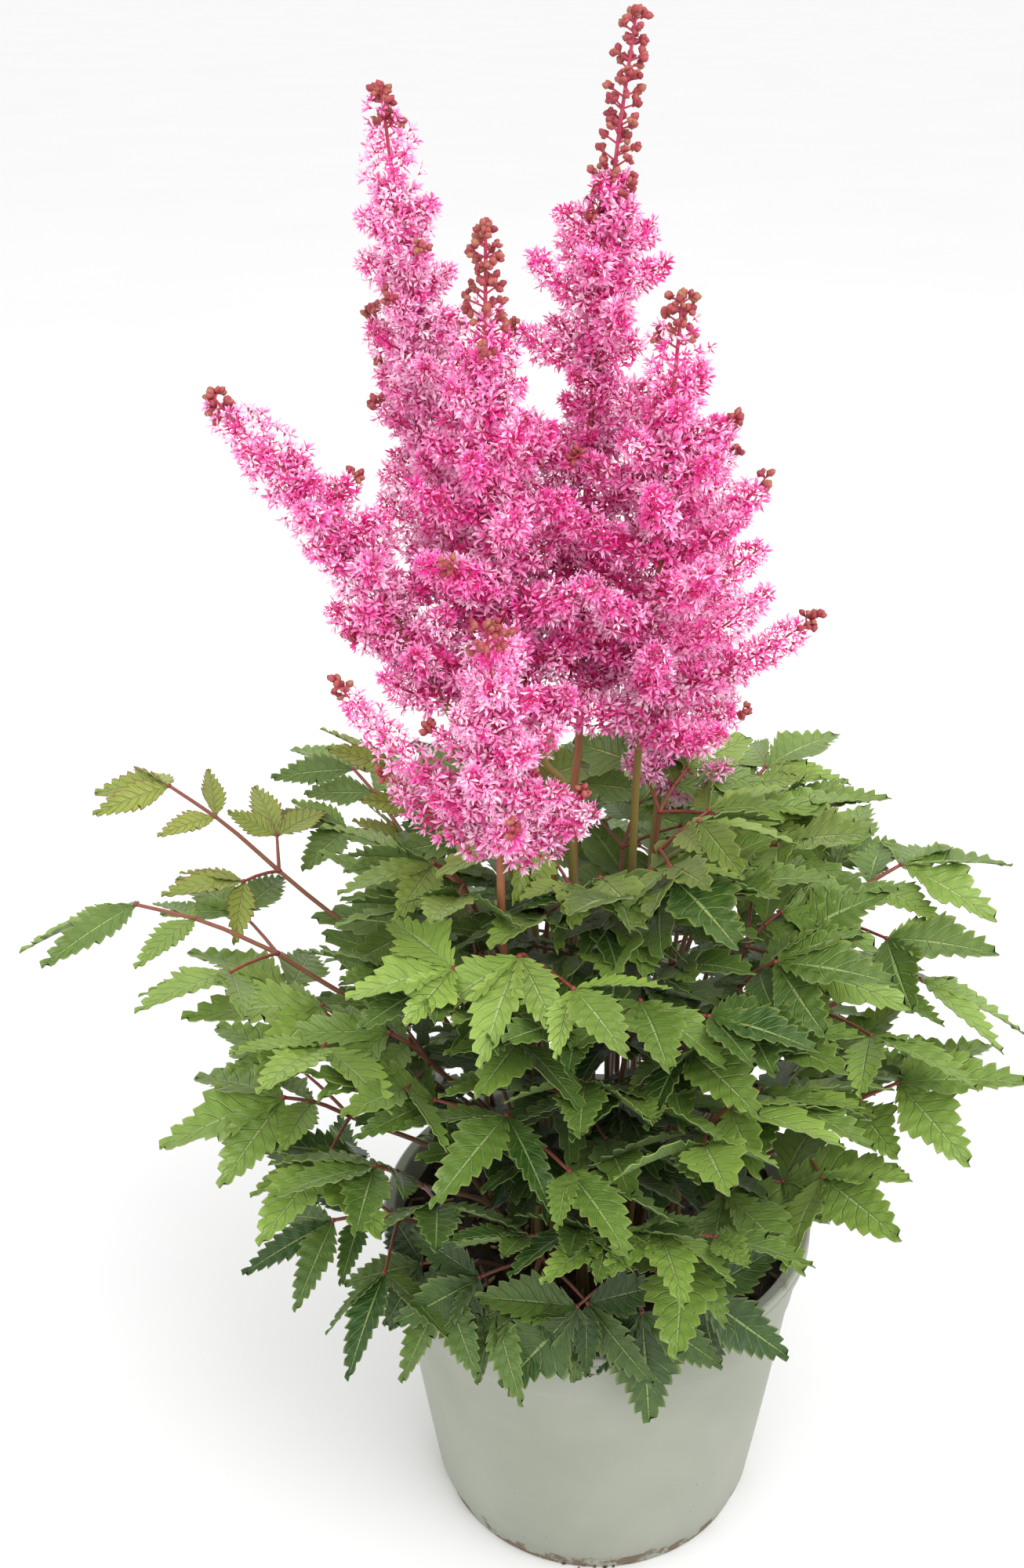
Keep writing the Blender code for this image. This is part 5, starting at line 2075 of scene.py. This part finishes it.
# Name, azimuth, foot, fork, tip, size, form, roll and tint.
LEAVES = (
    Leaf("leaf_01", 186, 34, (132, 286), (238, 302), 52, Form.LONG, 8, 0.5),
    Leaf("leaf_02", 168, 28, (140, 300), (222, 336), 38, Form.YOUNG, -10, 0.5),
    Leaf("leaf_03", 138, 27, (120, 290), (196, 312), 44, Form.PLAIN, 5, 0.5),
    Leaf("leaf_04", 149, 22, (80, 300), (130, 352), 38, Form.YOUNG, 12, 0.7),
    Leaf("leaf_05", 200, 40, (108, 222), (184, 232), 50, Form.BROAD, -6, 0.7),
    Leaf("leaf_06", 221, 40, (92, 206), (158, 236), 48, Form.PLAIN, 10, 0.28),
    Leaf("leaf_07", 205, 52, (92, 170), (166, 162), 46, Form.LONG, -8, 0.25),
    Leaf("leaf_08", 231, 55, (76, 166), (130, 130), 42, Form.PLAIN, 6, 0.3),
    Leaf("leaf_09", 253, 56, (74, 180), (116, 130), 42, Form.PLAIN, -5, 0.3),
    Leaf("leaf_10", 282, 54, (76, 182), (114, 118), 46, Form.BROAD, 4, 0.3),
    Leaf("leaf_11", 247, 40, (78, 246), (138, 262), 52, Form.LONG, -12, 0.25),
    Leaf("leaf_12", 318, 40, (62, 236), (136, 258), 54, Form.LONG, -6, 0.28),
    Leaf("leaf_13", 311, 50, (70, 196), (128, 196), 50, Form.BROAD, 8, 0.6),
    Leaf("leaf_14", 345, 46, (86, 204), (170, 252), 52, Form.BROAD, 12, 0.65),
    Leaf("leaf_15", 0, 34, (92, 254), (184, 258), 52, Form.LONG, -8, 0.45),
    Leaf("leaf_16", 16, 28, (100, 282), (180, 304), 50, Form.BROAD, 6, 0.35),
    Leaf("leaf_17", 42, 26, (74, 318), (136, 340), 44, Form.PLAIN, -8, 0.55),
    Leaf("leaf_18", 330, 22, (64, 286), (120, 312), 46, Form.BROAD, 10, 0.22),
    Leaf("leaf_19", 282, 26, (66, 296), (116, 306), 46, Form.BROAD, -4, 0.2),
    Leaf("leaf_20", 229, 26, (76, 296), (128, 316), 42, Form.PLAIN, 6, 0.22),
    Leaf("leaf_21", 68, 34, (104, 262), (178, 268), 50, Form.LONG, -6, 0.35),
    Leaf("leaf_22", 96, 28, (96, 284), (164, 310), 48, Form.PLAIN, 8, 0.4),
    Leaf("leaf_23", 122, 42, (102, 226), (178, 222), 50, Form.BROAD, -8, 0.35),
    Leaf("leaf_24", 84, 50, (84, 196), (150, 176), 48, Form.PLAIN, 10, 0.3),
    Leaf("leaf_25", 250, 22, (76, 322), (124, 314), 44, Form.BROAD, 4, 0.7),
    Leaf("leaf_26", 267, 36, (70, 258), (116, 290), 42, Form.PLAIN, -6, 0.3),
    Leaf("leaf_27", 297, 30, (58, 264), (120, 286), 50, Form.PLAIN, 8, 0.25),
    Leaf("leaf_28", 266, 50, (88, 206), (122, 230), 38, Form.PLAIN, 6, 0.25),
    Leaf("leaf_29", 284, 46, (90, 210), (126, 222), 40, Form.PLAIN, -8, 0.5),
    Leaf("leaf_30", 208, 18, (60, 328), (112, 344), 42, Form.PLAIN, 8, 0.5),
    Leaf("leaf_31", 200, 34, (108, 266), (168, 284), 54, Form.PLAIN, 10, 0.7),
    Leaf("leaf_32", 300, 14, (42, 330), (94, 350), 44, Form.BROAD, -8, 0.15),
    Leaf("leaf_33", 18, 18, (56, 322), (112, 342), 44, Form.BROAD, -10, 0.5),
)

# The smaller leaves inside the mound: azimuth, fork, tip, size, tint and turn.
INNER_LEAVES = (
    (300, (86, 250), (140, 272), 50, 0.60, 28), (217, (82, 258), (140, 284), 46, 0.50, -25),
    (116, (56, 318), (104, 346), 42, 0.40, 0), (262, (46, 238), (96, 254), 42, 0.20, -30),
    (255, (34, 264), (84, 282), 44, 0.15, 15), (285, (32, 292), (80, 308), 42, 0.25, -20),
    (277, (20, 310), (76, 328), 42, 0.10, 10), (246, (24, 314), (74, 332), 40, 0.15, -15),
    (300, (28, 314), (80, 336), 42, 0.40, 15), (266, (26, 292), (80, 308), 42, 0.20, -10),
    (313, (42, 260), (94, 274), 42, 0.15, 15), (276, (30, 226), (86, 240), 42, 0.10, 15),
    (296, (38, 204), (88, 214), 38, 0.05, -15), (232, (28, 240), (78, 250), 40, 0.10, 20),
    (315, (30, 268), (76, 284), 40, 0.15, -20), (240, (54, 286), (108, 306), 46, 0.35, -35),
    (330, (66, 270), (116, 290), 42, 0.40, 25), (352, (60, 290), (118, 308), 46, 0.50, 25),
    (180, (60, 250), (118, 276), 46, 0.30, -20), (195, (54, 296), (110, 322), 44, 0.45, 20),
    (225, (60, 226), (114, 240), 44, 0.10, -20), (250, (60, 222), (108, 236), 40, 0.12, 25),
    (30, (66, 290), (124, 312), 46, 0.50, 0), (55, (60, 262), (118, 288), 46, 0.30, 20),
    (80, (56, 300), (110, 324), 44, 0.40, -20), (105, (60, 252), (118, 270), 46, 0.25, 20),
    (135, (60, 286), (116, 310), 46, 0.40, -15), (160, (66, 262), (124, 284), 46, 0.30, 20),
    (12, (74, 232), (128, 244), 44, 0.25, 0), (262, (30, 326), (80, 346), 42, 0.35, 30),
    (225, (26, 334), (78, 358), 40, 0.95, 0), (320, (30, 340), (84, 362), 42, 0.55, 20),
    (45, (34, 334), (90, 352), 42, 0.45, 0), (150, (34, 328), (90, 350), 42, 0.50, 0),
    (60, (72, 194), (130, 196), 46, 0.15, 0), (95, (70, 220), (130, 220), 46, 0.20, 0),
    (120, (76, 186), (134, 180), 46, 0.15, 0), (35, (74, 218), (132, 220), 46, 0.20, 0),
    (145, (76, 218), (132, 216), 46, 0.20, 0), (75, (60, 240), (112, 238), 46, 0.15, 0),
    (235, (40, 200), (84, 206), 36, 0.05, -30),
)


def inner_growth() -> Growth:
    """Gathers the smaller leaves that fill the mound.

    Returns:
        The growth, ready for the tree.
    """
    growth = Growth("inner_leaves")
    forms = (Form.PLAIN, Form.LONG, Form.BROAD)
    for i, (azimuth, fork, tip, size, tint, turn) in enumerate(INNER_LEAVES):
        foot = 20 + 9 * (i % 4)
        roll = 12 * (i % 3 - 1)
        leaf = Leaf(f"inner_{i:02d}", azimuth, foot, fork, tip, size, forms[i % 3], roll, tint, turn=turn)
        leaf.grow(growth)
    return growth


def install(piece: bpy.types.Object, nodes: tuple[str, ...]) -> None:
    """Makes a piece part of the plant and reports it.

    Args:
        piece: The finished piece.
        nodes: The CAD nodes that it stands for.
    """
    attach(piece, "root")
    if nodes:
        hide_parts(*nodes)
    piece.data.calc_loop_triangles()
    log.info("%s: %d triangles", piece.name, len(piece.data.loop_triangles))


def add_litter(tree: GrowthTree, peat: Peat) -> None:
    """Makes the loose bits on the peat.

    Args:
        tree: The tree that grows them.
        peat: The peat that they lie on.
    """
    crumbs, chips = CrumbShapes().build(), ChipShapes().build()
    fibre = StalkFinish("fibre", (0.10, 0.05, 0.02), (0.25, 0.15, 0.07), (0.35, 0.24, 0.12)).make()
    growth = peat.litter()
    crumb = ChipFinish("crumb", ((0.0, (0.008, 0.005, 0.003)), (0.7, (0.05, 0.027, 0.014)),
                                 (1.0, (0.13, 0.08, 0.045)))).make()
    bark = ChipFinish("bark", ((0.0, (0.10, 0.055, 0.025)), (0.6, (0.26, 0.16, 0.08)),
                               (1.0, (0.45, 0.34, 0.2)))).make()
    install(tree.grow(growth, (crumbs, chips), (fibre, crumb, bark), sides=5), ())
    crumbs.remove()
    chips.remove()


def add_plumes(tree: GrowthTree) -> None:
    """Makes the flower stems with their plumes.

    Args:
        tree: The tree that grows them.
    """
    florets, buds = FloretShapes().build(), BudShapes().build()
    finishes = (StalkFinish("flower_stem").make(), PetalFinish().make(), BudFinish().make())
    for plume in PLUMES:
        install(tree.grow(plume.grow(), (florets, buds), finishes, sides=9), (plume.name,))
    florets.remove()
    buds.remove()


def add_leaves(tree: GrowthTree) -> None:
    """Makes the outer leaves one by one, and the inner ones as one piece.

    Args:
        tree: The tree that grows them.
    """
    leaflets, joints = LeafletShapes().build(), JointShapes().build()
    petiole = StalkFinish("petiole", (0.16, 0.22, 0.05), (0.29, 0.16, 0.07), (0.27, 0.035, 0.035)).make()
    mature = LeafFinish("leaf_blade").make()
    young = LeafFinish("young_blade", dark=(0.17, 0.25, 0.025), light=(0.42, 0.48, 0.085),
                       vein=(0.48, 0.50, 0.16), under=(0.24, 0.34, 0.12), margin=(0.25, 0.05, 0.03),
                       margin_share=0.8).make()
    for leaf in LEAVES:
        blade, slot = (young, "young_leaf") if leaf.form is Form.YOUNG else (mature, "leaf")
        piece = tree.grow(leaf.grow(), (leaflets, joints), (petiole, blade, petiole), sides=8)
        install(piece, (leaf.name,))
    plain_leaflets = LeafletShapes("plain_leaflets", stations=18).build()
    inner = tree.grow(inner_growth(), (plain_leaflets, joints), (petiole, mature, petiole), sides=6)
    install(inner, ())
    for library in (leaflets, joints, plain_leaflets):
        library.remove()


def main() -> None:
    """Builds the studio, the pot, the peat, the plumes and the leaves, in that order."""
    Studio().build()
    install(Pot().build(PotFinish().make()), ("pot",))
    tree = GrowthTree()
    peat = Peat()
    install(peat.build(PeatFinish().make()), ("soil",))
    add_litter(tree, peat)
    add_plumes(tree)
    add_leaves(tree)


if __name__ == "__main__":
    main()
